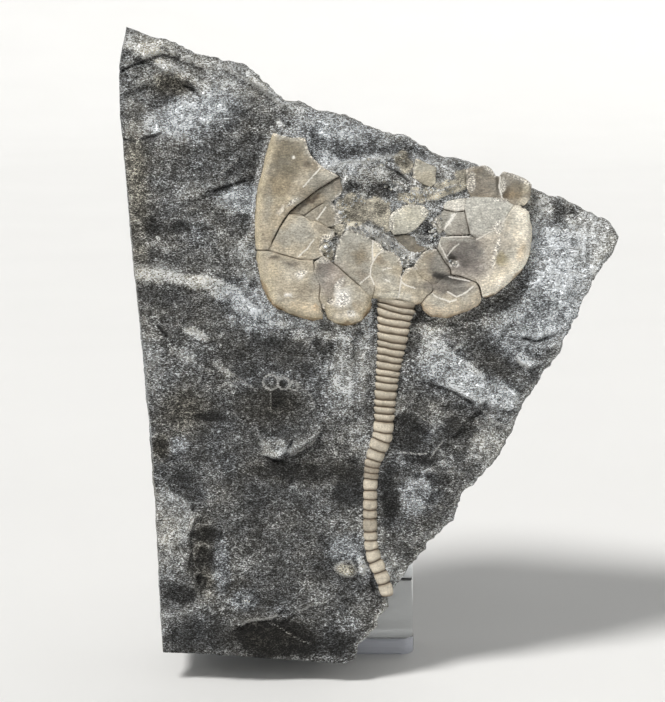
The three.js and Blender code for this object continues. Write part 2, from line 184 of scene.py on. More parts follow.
def nearest(s, t, lines):
    """Distance to the nearest of several lines."""
    return np.min([line_distance(s, t, line)[0] for line in lines], axis=0)


def inside_distance(s, t, outline):
    """Distance to a closed outline, positive inside. A point is inside if a ray running right from
    it crosses the outline an odd number of times."""
    best, inside = np.full(np.shape(s), 1e9), np.zeros(np.shape(s), bool)
    for (s0, t0), (s1, t1) in zip(outline, np.roll(outline, -1, axis=0)):
        ds, dt = s1 - s0, t1 - t0
        best = np.minimum(best, side_distance(s, t, s0, t0, ds, dt))
        if dt:
            inside ^= ((t0 > t) != (t1 > t)) & (s < s0 + (t - t0) * ds / dt)
    return np.where(inside, best, -best)


def ellipse(s, t, cs, ct, rs, rt, turn=0):
    """How far into an ellipse a point is: 1 at its middle cs and ct, falling to 0 as in a bell of
    reaches rs and rt. Its turn is in degrees."""
    c, d = math.cos(math.radians(turn)), math.sin(math.radians(turn))
    u, v = (s - cs) * c + (t - ct) * d, (t - ct) * c - (s - cs) * d
    return np.exp(-np.square(np.square(u / rs) + np.square(v / rt)))


# %% [markdown]
# Every piece here is one closed shell: rows of points, each row a ring, running from a pole on
# one side to a pole on the other. Numbers for the finish, such as how frosted the stone is,
# are stored on the points as attributes, which a material can read.

# %% Meshes from rings
def add_mesh(name, points, faces, attributes):
    """A mesh from points in metres and arrays of faces, anticlockwise seen from outside, with
    attributes that hold a number or a colour for each point."""
    mesh = bpy.data.meshes.new(name)
    sizes = np.concatenate([np.full(len(f), f.shape[1]) for f in faces])
    corners = np.concatenate([f.ravel() for f in faces]).astype(np.int32)
    mesh.vertices.add(len(points))
    mesh.vertices.foreach_set("co", points.astype(np.float32).ravel())
    mesh.loops.add(len(corners))
    mesh.loops.foreach_set("vertex_index", corners)
    mesh.polygons.add(len(sizes))
    mesh.polygons.foreach_set("loop_start", (np.cumsum(sizes) - sizes).astype(np.int32))
    mesh.update(calc_edges=True)
    mesh.polygons.foreach_set("use_smooth", np.ones(len(sizes), bool))
    for key, values in attributes.items():
        values = np.asarray(values, np.float32)
        if values.ndim == 1:
            mesh.attributes.new(key, "FLOAT", "POINT").data.foreach_set("value", values)
        else:
            colours = np.column_stack([values, np.ones(len(values), np.float32)])
            mesh.attributes.new(key, "FLOAT_COLOR", "POINT").data.foreach_set("color", colours.ravel())
    piece = bpy.data.objects.new(name, mesh)
    bpy.context.scene.collection.objects.link(piece)
    return piece


def ring_faces(rows, around):
    """Faces that close rows of rings, numbered row by row, with a pole before the first and one
    after the last: bands of four-cornered faces and two fans."""
    k = np.arange(around)
    after = (k + 1) % around
    row = 1 + np.arange(rows - 1)[:, None] * around
    bands = np.stack([row + k, row + around + k, row + around + after, row + after], axis=-1)
    last = 1 + (rows - 1) * around
    top = np.stack([np.zeros(around, int), k + 1, after + 1], axis=-1)
    foot = np.stack([np.full(around, last + around), last + after, last + k], axis=-1)
    return [bands.reshape(-1, 4), top, foot]


def ringed(rings):
    """Rows of rings as one list of values, with the first and last ring's means as its poles."""
    rows = rings.reshape(-1, *rings.shape[2:])
    return np.concatenate([rings[:1].mean(axis=1), rows, rings[-1:].mean(axis=1)])


def place(piece, slot, material, *nodes):
    """Gives a piece its finish, hangs it on the CAD body root, and hides the CAD parts of the nodes it stands
    for.
    """
    piece.data.materials.append(material)
    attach(piece, "root")
    if nodes:
        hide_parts(*nodes)
    return piece


# %% [markdown]
# Materials are written as sums. A Wire is a shader socket that can be added and multiplied in
# Python, and each operation adds the Math node that does it. A Finish is one material: it
# makes any other node by its type, its settings and its inputs.

# %% Shader sums
class Wire:
    """A socket of a shader tree that does arithmetic by adding Math nodes."""

    def __init__(self, tree, socket):
        self.tree, self.socket = tree, socket

    def math(self, operation, *values):
        node = self.tree.nodes.new("ShaderNodeMath")
        node.operation = operation
        for socket, value in zip(node.inputs, values):
            feed(self.tree, socket, value)
        return Wire(self.tree, node.outputs[0])

    def __add__(self, other):
        return self.math("ADD", self, other)

    def __sub__(self, other):
        return self.math("SUBTRACT", self, other)

    def __rsub__(self, other):
        return self.math("SUBTRACT", other, self)

    def __mul__(self, other):
        return self.math("MULTIPLY", self, other)

    def __rpow__(self, other):
        return self.math("POWER", other, self)

    __radd__, __rmul__ = __add__, __mul__

    def smooth(self, low, high):
        """0 to 1 as the value goes from low to high, which may be the smaller one."""
        node = self.tree.nodes.new("ShaderNodeMapRange")
        node.interpolation_type = "SMOOTHSTEP"
        for name, value in (("Value", self), ("From Min", min(low, high)), ("From Max", max(low, high))):
            feed(self.tree, node.inputs[name], value)
        rising = Wire(self.tree, node.outputs[0])
        return rising if low < high else 1 - rising


def feed(tree, socket, value):
    """Links a wire to a socket, or sets the socket to a plain value."""
    if isinstance(value, Wire):
        tree.links.new(value.socket, socket)
    else:
        socket.default_value = value


class Finish:
    """A material with one Principled shader, and its nodes made by name."""

    def __init__(self, name):
        self.material = bpy.data.materials.new(name)
        self.material.use_nodes = True
        self.tree = self.material.node_tree
        self.shader = self.tree.nodes["Principled BSDF"]
        texture_space = self.tree.nodes.new("ShaderNodeTexCoord")
        self.object_space = Wire(self.tree, texture_space.outputs["Object"])

    def node(self, kind, settings, values, output=0):
        made = self.tree.nodes.new("ShaderNode" + kind)
        for key, value in settings.items():
            setattr(made, key, value)
        for key, value in values.items():
            feed(self.tree, made.inputs[key], value)
        return Wire(self.tree, made.outputs[output])

    def attribute(self, name, output="Fac"):
        return self.node("Attribute", {"attribute_name": name}, {}, output)

    def texture(self, kind, size, stretch, values, output=0):
        """A texture whose marks are about size mm across, longer where stretch is more than 1."""
        scale = [1 / (size * MM * k) for k in stretch]
        placed = self.node("Mapping", {}, {"Vector": self.object_space, "Scale": scale})
        return self.node(kind, {}, {"Vector": placed, "Scale": 1.0, **values}, output)

    def noise(self, size, detail=2.0, rough=0.5, stretch=(1.0, 1.0, 1.0)):
        """Soft blobs, from 0 to 1, with finer ones on them."""
        return self.texture("TexNoise", size, stretch, {"Detail": detail, "Roughness": rough})

    def cells(self, size, stretch=(1.0, 1.0, 1.0)):
        """A random number from 0 to 1 for each angular cell."""
        hue = self.texture("TexVoronoi", size, stretch, {}, "Color")
        return self.node("SeparateColor", {}, {"Color": hue})

    def veins(self, size, wide=0.05):
        """1 along the thin winding lines where a noise crosses its middle, else 0."""
        middling = self.noise(size, 2.0, 0.6, (1.8, 1.0, 1.0)) - 0.5
        return middling.math("ABSOLUTE", middling).smooth(wide, 0.0)

    def mix(self, share, first, second, how="MIX"):
        """Two colours mixed: all first at share 0, all second at share 1."""
        values = {"Factor": share, 6: first, 7: second}
        return self.node("Mix", {"data_type": "RGBA", "blend_type": how}, values, 2)

    def grey(self, value):
        """A number as a grey colour."""
        return self.node("CombineColor", {}, {"Red": value, "Green": value, "Blue": value})

    def bump(self, height, reach, strength=1.0):
        """A surface pushed about by height, where 1 stands for reach mm."""
        return self.node("Bump", {}, {"Height": height, "Distance": reach * MM, "Strength": strength})

    def set(self, **values):
        for key, value in values.items():
            feed(self.tree, self.shader.inputs[key.replace("_", " ")], value)
        return self.material


def colour(red, green, blue):
    """A colour given as it looks on a screen, 0 to 255, as the linear colour a shader needs."""
    screen = np.array([red, green, blue]) / 255
    linear = np.where(screen > 0.04045, ((screen + 0.055) / 1.055) ** 2.4, screen / 12.92)
    return (*linear.tolist(), 1.0)

# %% [markdown]
# The theca, the animal's body, is a mosaic of plates. Each outline is the one the CAD model
# uses, drawn in face millimetres: neighbours share their corners. Before it stand the
# plate's ground colour, how far it is lifted or sunk, and which calcite slot it takes.

# %% Outlines and colours of the plates
CREAM, BEIGE, DUN, WHITE = (205, 196, 177), (180, 170, 151), (160, 150, 132), (234, 230, 223)

PLATES = {
    "left_horn": (DUN, 0.15, "dun", [(-13.6, 74.5), (-12.2, 73.9), (-9, 73.6), (-8.5, 71.7),
     (-7.1, 70), (-4.3, 68.3), (-7, 66.6), (-9.3, 64.9), (-11.4, 63.1), (-12.9, 60.6), (-14.2, 57.95),
     (-16, 58), (-16.1, 62), (-15.8, 66.5), (-15.2, 68.6), (-14.5, 71.6)]),
    "left_strip": ((150, 141, 124), -0.2, "brown", [(-4.3, 68.3), (-3.9, 66.5), (-4, 65.9),
     (-5.3, 64.7), (-6.7, 64.5), (-8, 63.7), (-9.2, 62.8), (-11.4, 63.1), (-9.3, 64.9), (-7, 66.6)]),
    "left_veined": ((153, 146, 132), -0.2, "grey_brown", [(-9.2, 62.8), (-8, 63.7), (-6.7, 64.5),
     (-5.3, 64.7), (-4.1, 62.9), (-3.7, 62), (-4.7, 61.5), (-6, 61.2), (-7.3, 62), (-8.6, 62.3)]),
    "left_middle": (BEIGE, -0.05, "dun", [(-11.4, 63.1), (-9.2, 62.8), (-8.6, 62.3), (-7.3, 62),
     (-6, 61.2), (-5.2, 60.8), (-4.9, 60), (-5.6, 59.4), (-7, 58.5), (-6.5, 57.2), (-7.9, 56.7),
     (-10.2, 56.8), (-12, 57.3), (-14.2, 57.95), (-12.9, 60.6)]),
    "left_lower": (BEIGE, 0.0, "dun", [(-16, 58), (-14.2, 57.95), (-12, 57.3), (-10.2, 56.8),
     (-7.9, 56.7), (-7.8, 55), (-7, 53), (-7.1, 51.3), (-6.8, 50.4), (-6.5, 48.4), (-8, 48.2), (-9.2, 48.5),
     (-11.6, 49.3), (-13.6, 50.4), (-14.9, 52.6), (-15.6, 55)]),
    "lobe": (BEIGE, 0.05, "cream", [(-6.5, 49.6), (-5.9, 48.5), (-5, 47.9), (-3, 47.5), (-1.2, 48.2),
     (0.1, 49.9), (0.3, 51.2), (-1.6, 53.2), (-3.2, 54.6), (-5.1, 56.2), (-6.5, 57.2), (-7.75, 56.4),
     (-7.8, 55), (-7, 53), (-7.1, 51.3), (-6.8, 50.4)]),
    "centre_left": ((166, 160, 147), -0.1, "grey_brown", [(-5.1, 56.2), (-4.6, 58.4), (-4.3, 59.9),
     (-3.4, 60.8), (-2.8, 61.1), (-1.3, 60.5), (0.3, 59.5), (0.4, 56.4), (0.1, 55.8), (0, 54.5), (0.6, 52.8),
     (0.3, 51.2), (-1.6, 53.2), (-3.2, 54.6)]),
    "wedge": (CREAM, -0.1, "cream", [(0.3, 59.5), (0.4, 56.4), (2, 58), (1.5, 58.9)]),
    "basal_left": ((176, 166, 147), 0.05, "cream", [(0.4, 51.3), (0.6, 52.8), (0, 54.5), (0.1, 55.8),
     (0.4, 56.4), (2, 58), (3.5, 57.8), (4.2, 56.9), (4.5, 55.8), (4.3, 54.2), (4, 52.5), (3.9, 51.2)]),
    "basal_right": (BEIGE, 0.0, "dun", [(3.9, 51.2), (4, 52.5), (4.3, 54.2), (5, 55.4), (6, 55.8),
     (7.2, 54.2), (8.6, 53.2), (8.8, 52.4), (8, 51.6), (6.85, 50.3), (5.5, 50.8)]),
    "centre_right": (DUN, -0.05, "dun", [(6, 55.8), (6.7, 56.7), (7.5, 57.7), (8.4, 58.1),
     (9.3, 58.2), (10.2, 56.7), (11.2, 55.3), (11.3, 54.6), (10, 54), (9.3, 53.3), (8.6, 53.2), (7.2, 54.2)]),
    "right_rim_lower": ((182, 172, 154), 0.0, "dun", [(8.8, 52.4), (8.6, 53.2), (9.3, 53.3), (10, 54),
     (11.3, 54.6), (12.4, 54.4), (13.9, 53.9), (14.8, 53.5), (15.25, 52.3), (15.65, 51), (15, 50.3),
     (13.8, 49.6), (12.2, 49), (10.8, 48.6), (9.5, 48.6), (8.3, 48.9), (6.85, 50.3), (8, 51.6)]),
    "right_great": ((206, 197, 180), 0.15, "cream", [(15.75, 51.3), (17.5, 51.9), (18.9, 53),
     (20.3, 54.2), (21.4, 55.5), (22.1, 56.8), (22.5, 58.5), (22.6, 61), (22.2, 63.4), (21.2, 64.1),
     (20, 64.3), (17.9, 61.1), (14.8, 59.5), (14, 59.9), (9.9, 59.9), (9.6, 59), (9.3, 58.2), (10.2, 56.7),
     (11.2, 55.3), (11.3, 54.6), (12.4, 54.4), (13.9, 53.9), (14.8, 53.6), (15.2, 52.9)]),
    "right_upper": ((190, 188, 180), -0.15, "dun", [(13.3, 65.2), (14, 65.4), (15.5, 65.4),
     (17, 65.3), (18.6, 65), (20, 64.3), (17.9, 61.1), (14.8, 59.5), (13.9, 60.3), (13.2, 63.5)]),
    "shard_tall": ((166, 162, 153), -0.3, "grey_brown", [(12, 63.4), (13.2, 63.5), (13.9, 60.3),
     (10.9, 60.1), (10.2, 60.8)]),
    "shard_small": ((160, 156, 146), -0.35, "dun", [(10.3, 63.7), (12, 63.4), (10.2, 60.8),
     (9.6, 60.2), (8.8, 61.2), (8.7, 62.2), (9, 62.4)]),
    "bar": ((208, 204, 194), -0.1, "cream", [(10.1, 64.2), (11, 64.9), (13.3, 65.2), (13.2, 63.5),
     (12, 63.4), (10.3, 63.7)]),
    "oval": ((178, 174, 160), -0.1, "cream", [(2.6, 62.6), (4, 63.9), (5.5, 64.4), (7.2, 64.3),
     (8.2, 63.4), (7.6, 62.2), (6.6, 61.2), (5.5, 60.4), (3.3, 60.2), (2.5, 61)]),
    "brown_low": ((126, 118, 104), -0.4, "brown", [(3.3, 60), (5.4, 60.1), (6.4, 60), (6.7, 58.9),
     (8, 58.2), (6.6, 57.6), (5.5, 57.7), (4.4, 58.7), (3.4, 59.5)]),
    "shard_loose": ((176, 169, 152), -0.3, "dun", [(6.3, 70.9), (7.6, 70.3), (9.2, 69.6), (9.2, 67.4),
     (8.5, 66.8), (7.2, 67.3), (5.8, 68.2), (6, 69.4)]),
    "brown_broken": ((140, 131, 117), -0.35, "brown", [(13.4, 67), (13.4, 69.3), (14.2, 69.6),
     (16, 69.9), (16.8, 69.5), (17.5, 68.4), (18.1, 68.4), (18.6, 69), (20, 68.6), (22, 67.7), (22.5, 67.2),
     (22.4, 66), (22, 64.8), (21.2, 64.1), (20, 64.3), (18.6, 65), (17, 65.3), (15.5, 65.4), (14, 65.4)]),
}
print(len(PLATES), "plates")

# %% [markdown]
# Most joints between plates were healed by calcite and show as thin white seams. A few are
# real cracks, open and dark. Both are drawn apart from the outlines, and so is the theca's
# outer margin, where the plates curl down into the stone.

# %% Cracks, seams and the outer margin
horn, strip, lower, lobe = (PLATES[key][3] for key in ("left_horn", "left_strip", "left_lower", "lobe"))
CRACKS = [  # width in mm, points
    (0.2, [(-3.9, 68.5), *horn[5:10], (-13.7, 59.2)]), (0.1, strip[7:3:-1]),
    (0.1, [(-16.3, 58), *lower[1:4], (-8.2, 56.6)]),
    (0.1, [(-5.6, 56.6), (-5.1, 56.2), (-3.2, 54.6), (-1.6, 53.2)]),
    (0.15, [(9.3, 58.4), (10.2, 56.7), (11.2, 55.3), (11.3, 54.6), (12.4, 54.4), (13.9, 53.9)]),
    (0.07, [(14.6, 53.9), (14.8, 53.5), (15.2, 52.6), (15.7, 51)]),
    (0.12, [(6.5, 50), (8, 51.6), (8.8, 52.4)]),
    (0.11, [(10.1, 64.2), (10.3, 63.7), (12, 63.4), (13.2, 63.5), (13.9, 60.3)]),
    (0.11, [(8.8, 62.4), (9.6, 61), (10.2, 60.8)]),
    (0.05, [(-6.6, 48.3), (-6.8, 50.4), (-7.1, 51.3), (-7, 53)]),
]
SEAMS = [
    [(0.4, 59.6), (0.3, 58), (0.4, 56.4), (0.1, 55.8), (0, 54.5), (0.55, 53.2)],
    [(0.4, 56.4), (1, 57.3), (2, 58.2)], [(-3, 61.1), (-1.3, 60.5), (0.8, 59.4)],
    [(-1.4, 53.4), (-0.1, 54.4)], [(-7.9, 59.4), (-8.8, 58.2), (-10, 57.1)], [(-6.2, 64), (-7.4, 62.3)],
    [(-6.6, 69.8), (-9.3, 66.8)], [(1.8, 55.2), (2.3, 55.5), (2.9, 55.5)], [(2.1, 53.9), (2.7, 53.6)],
    [(4.3, 53.6), (5, 53.1), (6.2, 52.7)], [(4.3, 54.4), (4.2, 53), (3.9, 51.4)],
    [(10.2, 59.8), (13.9, 59.9)], [(14.8, 59.5), (16.2, 60.2), (18, 61.1), (18.8, 62.4)],
    [(10.8, 57.3), (11.6, 58.3), (12.4, 58.9)], [(9.5, 59.2), (10.4, 57.4), (11.3, 55.8)],
    [(8.7, 51.9), (9.3, 51.4), (10.4, 51.1), (11, 50.8), (12, 51.1)],
    [(10.8, 52.2), (12, 51.5), (13.2, 52), (14.3, 52.9)], [(11, 54.3), (13.8, 53.7)],
    [(10.3, 60.9), (12.1, 63.3)], [(18.2, 68.3), (18, 67), (18.4, 65.3)],
    [(-3.2, 49.5), (-2.4, 49.5), (-2.2, 48.9), (-3, 48.9), (-3.2, 49.5)],
]
LEFT_MARGIN = [horn[0], *horn[:-6:-1], *lower[:-8:-1]]
LOBE_MARGIN = [*lobe[:6], (0.3, 51)]
RIGHT_MARGIN = [
    (6.85, 50.3), (8.3, 48.9), (9.5, 48.6), (10.8, 48.6), (12.2, 49), (13.8, 49.6), (15, 50.3), (15.6, 51),
    (15.9, 51.4), (17.5, 51.9), (18.9, 53), (20.3, 54.2), (21.4, 55.5), (22.1, 56.8), (22.5, 58.5),
    (22.6, 61), (22.2, 63.4), (21.2, 64.1),
]
BASE_MARGIN = [(0.7, 51.3), (3.9, 51.1), (5.5, 50.7), (6.85, 50.2)]
print(len(CRACKS), "cracks and", len(SEAMS), "seams")

# %% [markdown]
# An outline of a dozen points is too straight-sided. Where it turns gently the corner is
# rounded, where it turns sharply it stays, as in broken calcite. Noise that depends only on
# the place then nudges the points, so plates that share an edge still fit.

# %% Drawing an outline smoothly
SHARP_TURN = 0.6  # radians
STEP = 0.12  # mm between the points round a plate
SIDE_STEPS, FEWEST = 24, 40  # steps to a drawn side, points round a plate
NUDGE = 0.07  # mm


def travelled(line):
    """How far along a line of points each of them lies."""
    return np.r_[0, np.cumsum(np.linalg.norm(np.diff(line, axis=0), axis=1))]


def read_at(line, distances):
    """The places at given distances along a line of points."""
    return np.column_stack([np.interp(distances, travelled(line), values) for values in line.T])


def cubic(start, end, leaving, arriving, steps):
    """Points on the cubics from each start to its end, whose ways at both ends are given."""
    u = np.linspace(0, 1, steps, endpoint=False)[None, :, None]
    start, end, leaving, arriving = (part[:, None] for part in (start, end, leaving, arriving))
    curve = ((2 * u ** 3 - 3 * u ** 2 + 1) * start + (u ** 3 - 2 * u ** 2 + u) * leaving
             + (3 * u ** 2 - 2 * u ** 3) * end + (u ** 3 - u ** 2) * arriving)
    return curve.reshape(-1, 2)


def smooth_outline(outline):
    """A closed outline, anticlockwise, in even small steps. Each side is a cubic. At a gentle corner
    it heads along the mean of the two sides' directions, at a sharp one along its own."""
    start = np.array(outline)
    after_s, after_t = np.roll(start, -1, axis=0).T
    if start[:, 0] @ after_t < start[:, 1] @ after_s:  # it runs clockwise
        start = start[::-1]
    end = np.roll(start, -1, axis=0)
    way = end - start
    length = np.linalg.norm(way, axis=1, keepdims=True)
    way = way / length
    before = np.roll(way, 1, axis=0)
    mean = before + way
    mean /= np.linalg.norm(mean, axis=1, keepdims=True)
    gentle = np.sum(before * way, axis=1, keepdims=True) > math.cos(SHARP_TURN)
    leaving = np.where(gentle, mean, way) * length
    arriving = np.where(np.roll(gentle, -1, axis=0), np.roll(mean, -1, axis=0), way) * length
    curve = cubic(start, end, leaving, arriving, SIDE_STEPS)
    curve = np.vstack([curve, curve[:1]])
    length = travelled(curve)[-1]
    even = read_at(curve, np.linspace(0, length, max(FEWEST, int(length / STEP)), endpoint=False))
    points = flat(*even.T)
    return even + NUDGE * np.column_stack([fractal(points, 0.9, seed, 3) for seed in (11, 14)])


outlines = {name: smooth_outline(outline) for name, (_, _, _, outline) in PLATES.items()}
print("the great plate's outline has", len(outlines["right_great"]), "points")

# %% [markdown]
# The block was sawn on the left and broken on the other sides. Its face is a patch stretched
# between the edges: a place is the top and bottom edges mixed, plus the left and right edges
# mixed, less the corners, which were counted twice.

# %% The block's edges
TOP_EDGE = [
    (-34.3, 89.6), (-29.2, 88), (-22.7, 85.6), (-18.1, 84.4), (-13, 80.2), (-9.9, 79), (-2.5, 76.8),
    (5.8, 73.8), (9.6, 71.9), (14.1, 70.9), (17.5, 68.9), (23.8, 66.5), (28.6, 64.9), (31.9, 63.3),
    (33.9, 62), (35.2, 60.1),
]
RIGHT_EDGE = [
    (-3.5, -0.3), (-2, 0.6), (-1.4, 2.5), (0, 4), (1.1, 5), (1.3, 6.3), (2.4, 7.8), (2.7, 9.3), (3.7, 10.8),
    (5.6, 13.4), (6.6, 14.6), (9.2, 17.8), (11.3, 20), (12.4, 22.2), (13.2, 24.2), (17.8, 28.9),
    (22.1, 36.9), (27, 44.4), (28.9, 48.2), (31.3, 53.6), (33, 56), (34.5, 58.1), (35.2, 60.1),
]
BOTTOM_EDGE = [(-29.2, 1.3), (-20.2, 0.9), (-9.5, 0.1), (-3.5, -0.3)]
LEFT_EDGE = [(-29.2, 1.3), (-30.8, 29.4), (-33.2, 55.3), (-35.3, 80.0), (-34.3, 89.6)]
BLOCK_THICK = 19.0
BACK_LIFT = 3.7  # raises the back's lower edge
COLUMNS, ROWS = 252, 284  # points across the face and up it
EDGE_STEPS = 40  # steps between two drawn points


def edge(points, count, wobble, seed):
    """An open line through given points: cubics with the neighbours' mean direction, read at
    even steps, then moved across its own way by noise of wobble mm that dies away at the ends."""
    dots = np.array(points)
    padded = np.vstack([2 * dots[0] - dots[1], dots, 2 * dots[-1] - dots[-2]])
    way = (padded[2:] - padded[:-2]) / 2
    curve = np.vstack([cubic(dots[:-1], dots[1:], way[:-1], way[1:], EDGE_STEPS), dots[-1]])
    share = np.linspace(0, 1, count)
    even = read_at(curve, share * travelled(curve)[-1])
    points = flat(*even.T)
    rough_line = 0.7 * fractal(points, 2.4, seed, 4) + 0.45 * fractal(points, 0.7, seed + 9, 2)
    away = wobble * rough_line * np.minimum(1, 12 * share * (1 - share))
    way = np.gradient(even, axis=0)
    way /= np.linalg.norm(way, axis=1, keepdims=True)
    return even + away[:, None] * np.column_stack([-way[:, 1], way[:, 0]])


left, right = edge(LEFT_EDGE, ROWS, 0.08, 21), edge(RIGHT_EDGE, ROWS, 0.42, 22)
foot, top = edge(BOTTOM_EDGE, COLUMNS, 0.1, 23), edge(TOP_EDGE, COLUMNS, 0.38, 24)
across = np.linspace(0, 1, COLUMNS)[None, :, None]
up = np.linspace(0, 1, ROWS)[:, None, None]
face = (top[None] * up + foot[None] * (1 - up) + right[:, None] * across + left[:, None] * (1 - across)
        - top[-1] * across * up - top[0] * (1 - across) * up
        - foot[-1] * across * (1 - up) - foot[0] * (1 - across) * (1 - up))
face_s, face_t = face[..., 0], face[..., 1]
print("face grid:", face_s.shape, "points")

# %% [markdown]
# The face's shape is a sum of broad swells and hollows, ledges where the stone parted along
# its bedding, small ridges along the pale shell edges, and noise. A ledge lifts the ground on
# its left side and dies away behind.

# %% Relief of the block's face
SWELLS = [  # height, s, t, reach s, reach t, turn if not 0
    (-1.1, -31, 81, 5, 2.4), (0.6, -30, 86.5, 5, 2.2), (0.5, -16, 81.5, 5, 2), (-0.5, -26, 62, 7, 3),
    (0.6, -25, 54.5, 9, 1.6), (-0.5, -21, 70, 6, 2.4), (-0.6, -11.5, 35, 4, 3), (0.6, -13, 30.2, 3, 1.5),
    (-0.5, -27, 25.5, 4, 3.5), (0.4, -24, 15, 3, 5), (-0.5, -13, 3.5, 6, 2.5), (0.3, 13, 43, 6, 4),
    (-0.5, 10, 32, 5, 2.5), (0.5, 7, 24.5, 3, 3), (-0.5, 28, 60, 5, 4), (0.5, 0, 68, 4, 3.5),
    # smaller ones: shell cells, pits and bumps
    (-0.5, -23.2, 18.3, 1.7, 1.3), (-0.5, -23.2, 15.1, 1.3, 1.5), (-0.5, -23.4, 11.8, 1, 1.3),
    (-0.45, -26.8, 9.6, 3, 1.6), (-0.6, -27.5, 81.6, 2, 1.4, -10), (-0.5, -30.2, 61.4, 1.6, 0.9),
    (-0.5, -27, 61.4, 1.4, 0.8), (-0.35, -18, 69.4, 2.2, 1.5), (-0.45, -22.3, 34.8, 2.3, 0.7),
    (1, -1.2, 14.4, 0.6, 1.5, 8), (1.1, -3.4, 13.4, 1.4, 0.9, -10), (-0.5, 7.4, 31.8, 2.6, 2.4),
    (-0.35, 2.9, 24, 1.2, 4.5), (-0.4, 20, 65.6, 3, 1.5), (-0.7, -2.2, 66.6, 1.6, 0.9),
    (-0.8, 1.6, 66.5, 2, 1.2), (-0.6, 5, 70.8, 1.4, 1.1), (0.7, -12.5, 75.8, 0.8, 0.5),
    (0.7, 0.8, 60.4, 3.4, 0.6, -22), (0.6, 4.2, 58.4, 2.4, 0.7, -35), (-0.5, 9, 60.4, 1, 1.6, 20),
    (-0.4, 17.5, 42.5, 3.6, 2, -20), (0.4, 8.8, 25, 1.2, 0.9), (0.35, -13.9, 39.6, 0.9, 0.9),
]
LIGHT_LOW = [(9.8, 39), (11.9, 38.3), (14.2, 36.9), (16.5, 36.2)]  # sides of the light block
LIGHT_HIGH = [(21.6, 37.5), (20, 38.9), (17.3, 39.6), (14.6, 42), (11.5, 44.3), (8.8, 47)]
LEDGES = [  # height, reach behind, points; high side left
    (0.8, 4, [(-35.3, 83.5), (-33.5, 84.3), (-31, 85.1), (-29.3, 85.7), (-28.2, 85.6), (-26.8, 85.1)]),
    (0.5, 2, [(-33.5, 80.9), (-32.2, 81.5), (-30.3, 81.5), (-29.7, 81)]),
    (0.6, 2.5, [(-28.2, 82.9), (-26, 81.6), (-24.6, 80.6)]),
    (0.4, 3, [(-19.5, 83.3), (-17.5, 82.2), (-15, 80.8), (-12, 78.3)]),
    (0.5, 3, [(-23, 66), (-22, 66.4), (-20.2, 67.1), (-17.6, 67.9), (-16.3, 68.1)]),
    (0.45, 4, [(-16.8, 51.2), (-18.4, 52.9), (-20.6, 54), (-22.6, 54.5), (-26, 55), (-29.5, 55.8),
     (-33.6, 56.3)]), (0.45, 2, [(-33.9, 62.1), (-32.3, 62), (-31.6, 62.4)]),
    (0.45, 1.6, [(-20.8, 55.8), (-21.8, 57), (-22.8, 58), (-23.6, 58.1), (-24.8, 57.8)]),
    (0.8, 1.8, [(-15.6, 31.2), (-15.1, 30.5), (-14.8, 29.4), (-13.8, 29), (-12.3, 28.7), (-11.7, 30),
     (-11, 29.4), (-10, 29.9), (-8, 31), (-7.6, 31.6)]),
    (0.5, 2, [(-23.9, 20.2), (-25, 22.7), (-26.9, 23.9), (-27.8, 24.3), (-28.5, 26), (-30.5, 27)]),
    (0.5, 1.6, [(-24, 10.6), (-24.7, 12.9), (-25.1, 14), (-24.9, 18), (-24.7, 19.6), (-24.2, 20.2)]),
    (0.5, 2, [(-22.2, 10.5), (-23.5, 9.4), (-25.3, 8.3), (-26.7, 7.5), (-29.4, 7.6)]),
    (0.4, 2, [(-18.2, 5.4), (-17.4, 5.95), (-16.2, 6.25), (-14.7, 6.35), (-13.6, 6.6), (-13, 7.1)]),
    (0.35, 2, [(-9.9, 7.4), (-8.5, 8.2), (-6.5, 8.5), (-4.9, 9.8)]),
    (0.35, 6, [*LIGHT_LOW, (19.8, 35.4), (21, 35.7)]), (0.35, 6, LIGHT_HIGH),
    (0.5, 1.6, [(12.7, 27), (9.8, 27.4), (8.8, 28), (7.4, 27.4), (6.8, 26.4), (6.2, 26)]),
    (0.5, 1.6, [(20.3, 43.4), (20.9, 42.3), (22.3, 41.4), (24, 41.9)]),
    (0.4, 1.6, [(21.8, 45.8), (23.4, 45.4), (25, 46)]), (0.4, 1.4, [(2.3, 67.3), (4, 67.1), (5.5, 66.2)]),
    (0.5, 1.2, [(3.6, 69.3), (4.6, 68.6), (5.6, 67.7)]), (0.4, 1.4, [(12.9, 33.2), (15.5, 36)]),
]
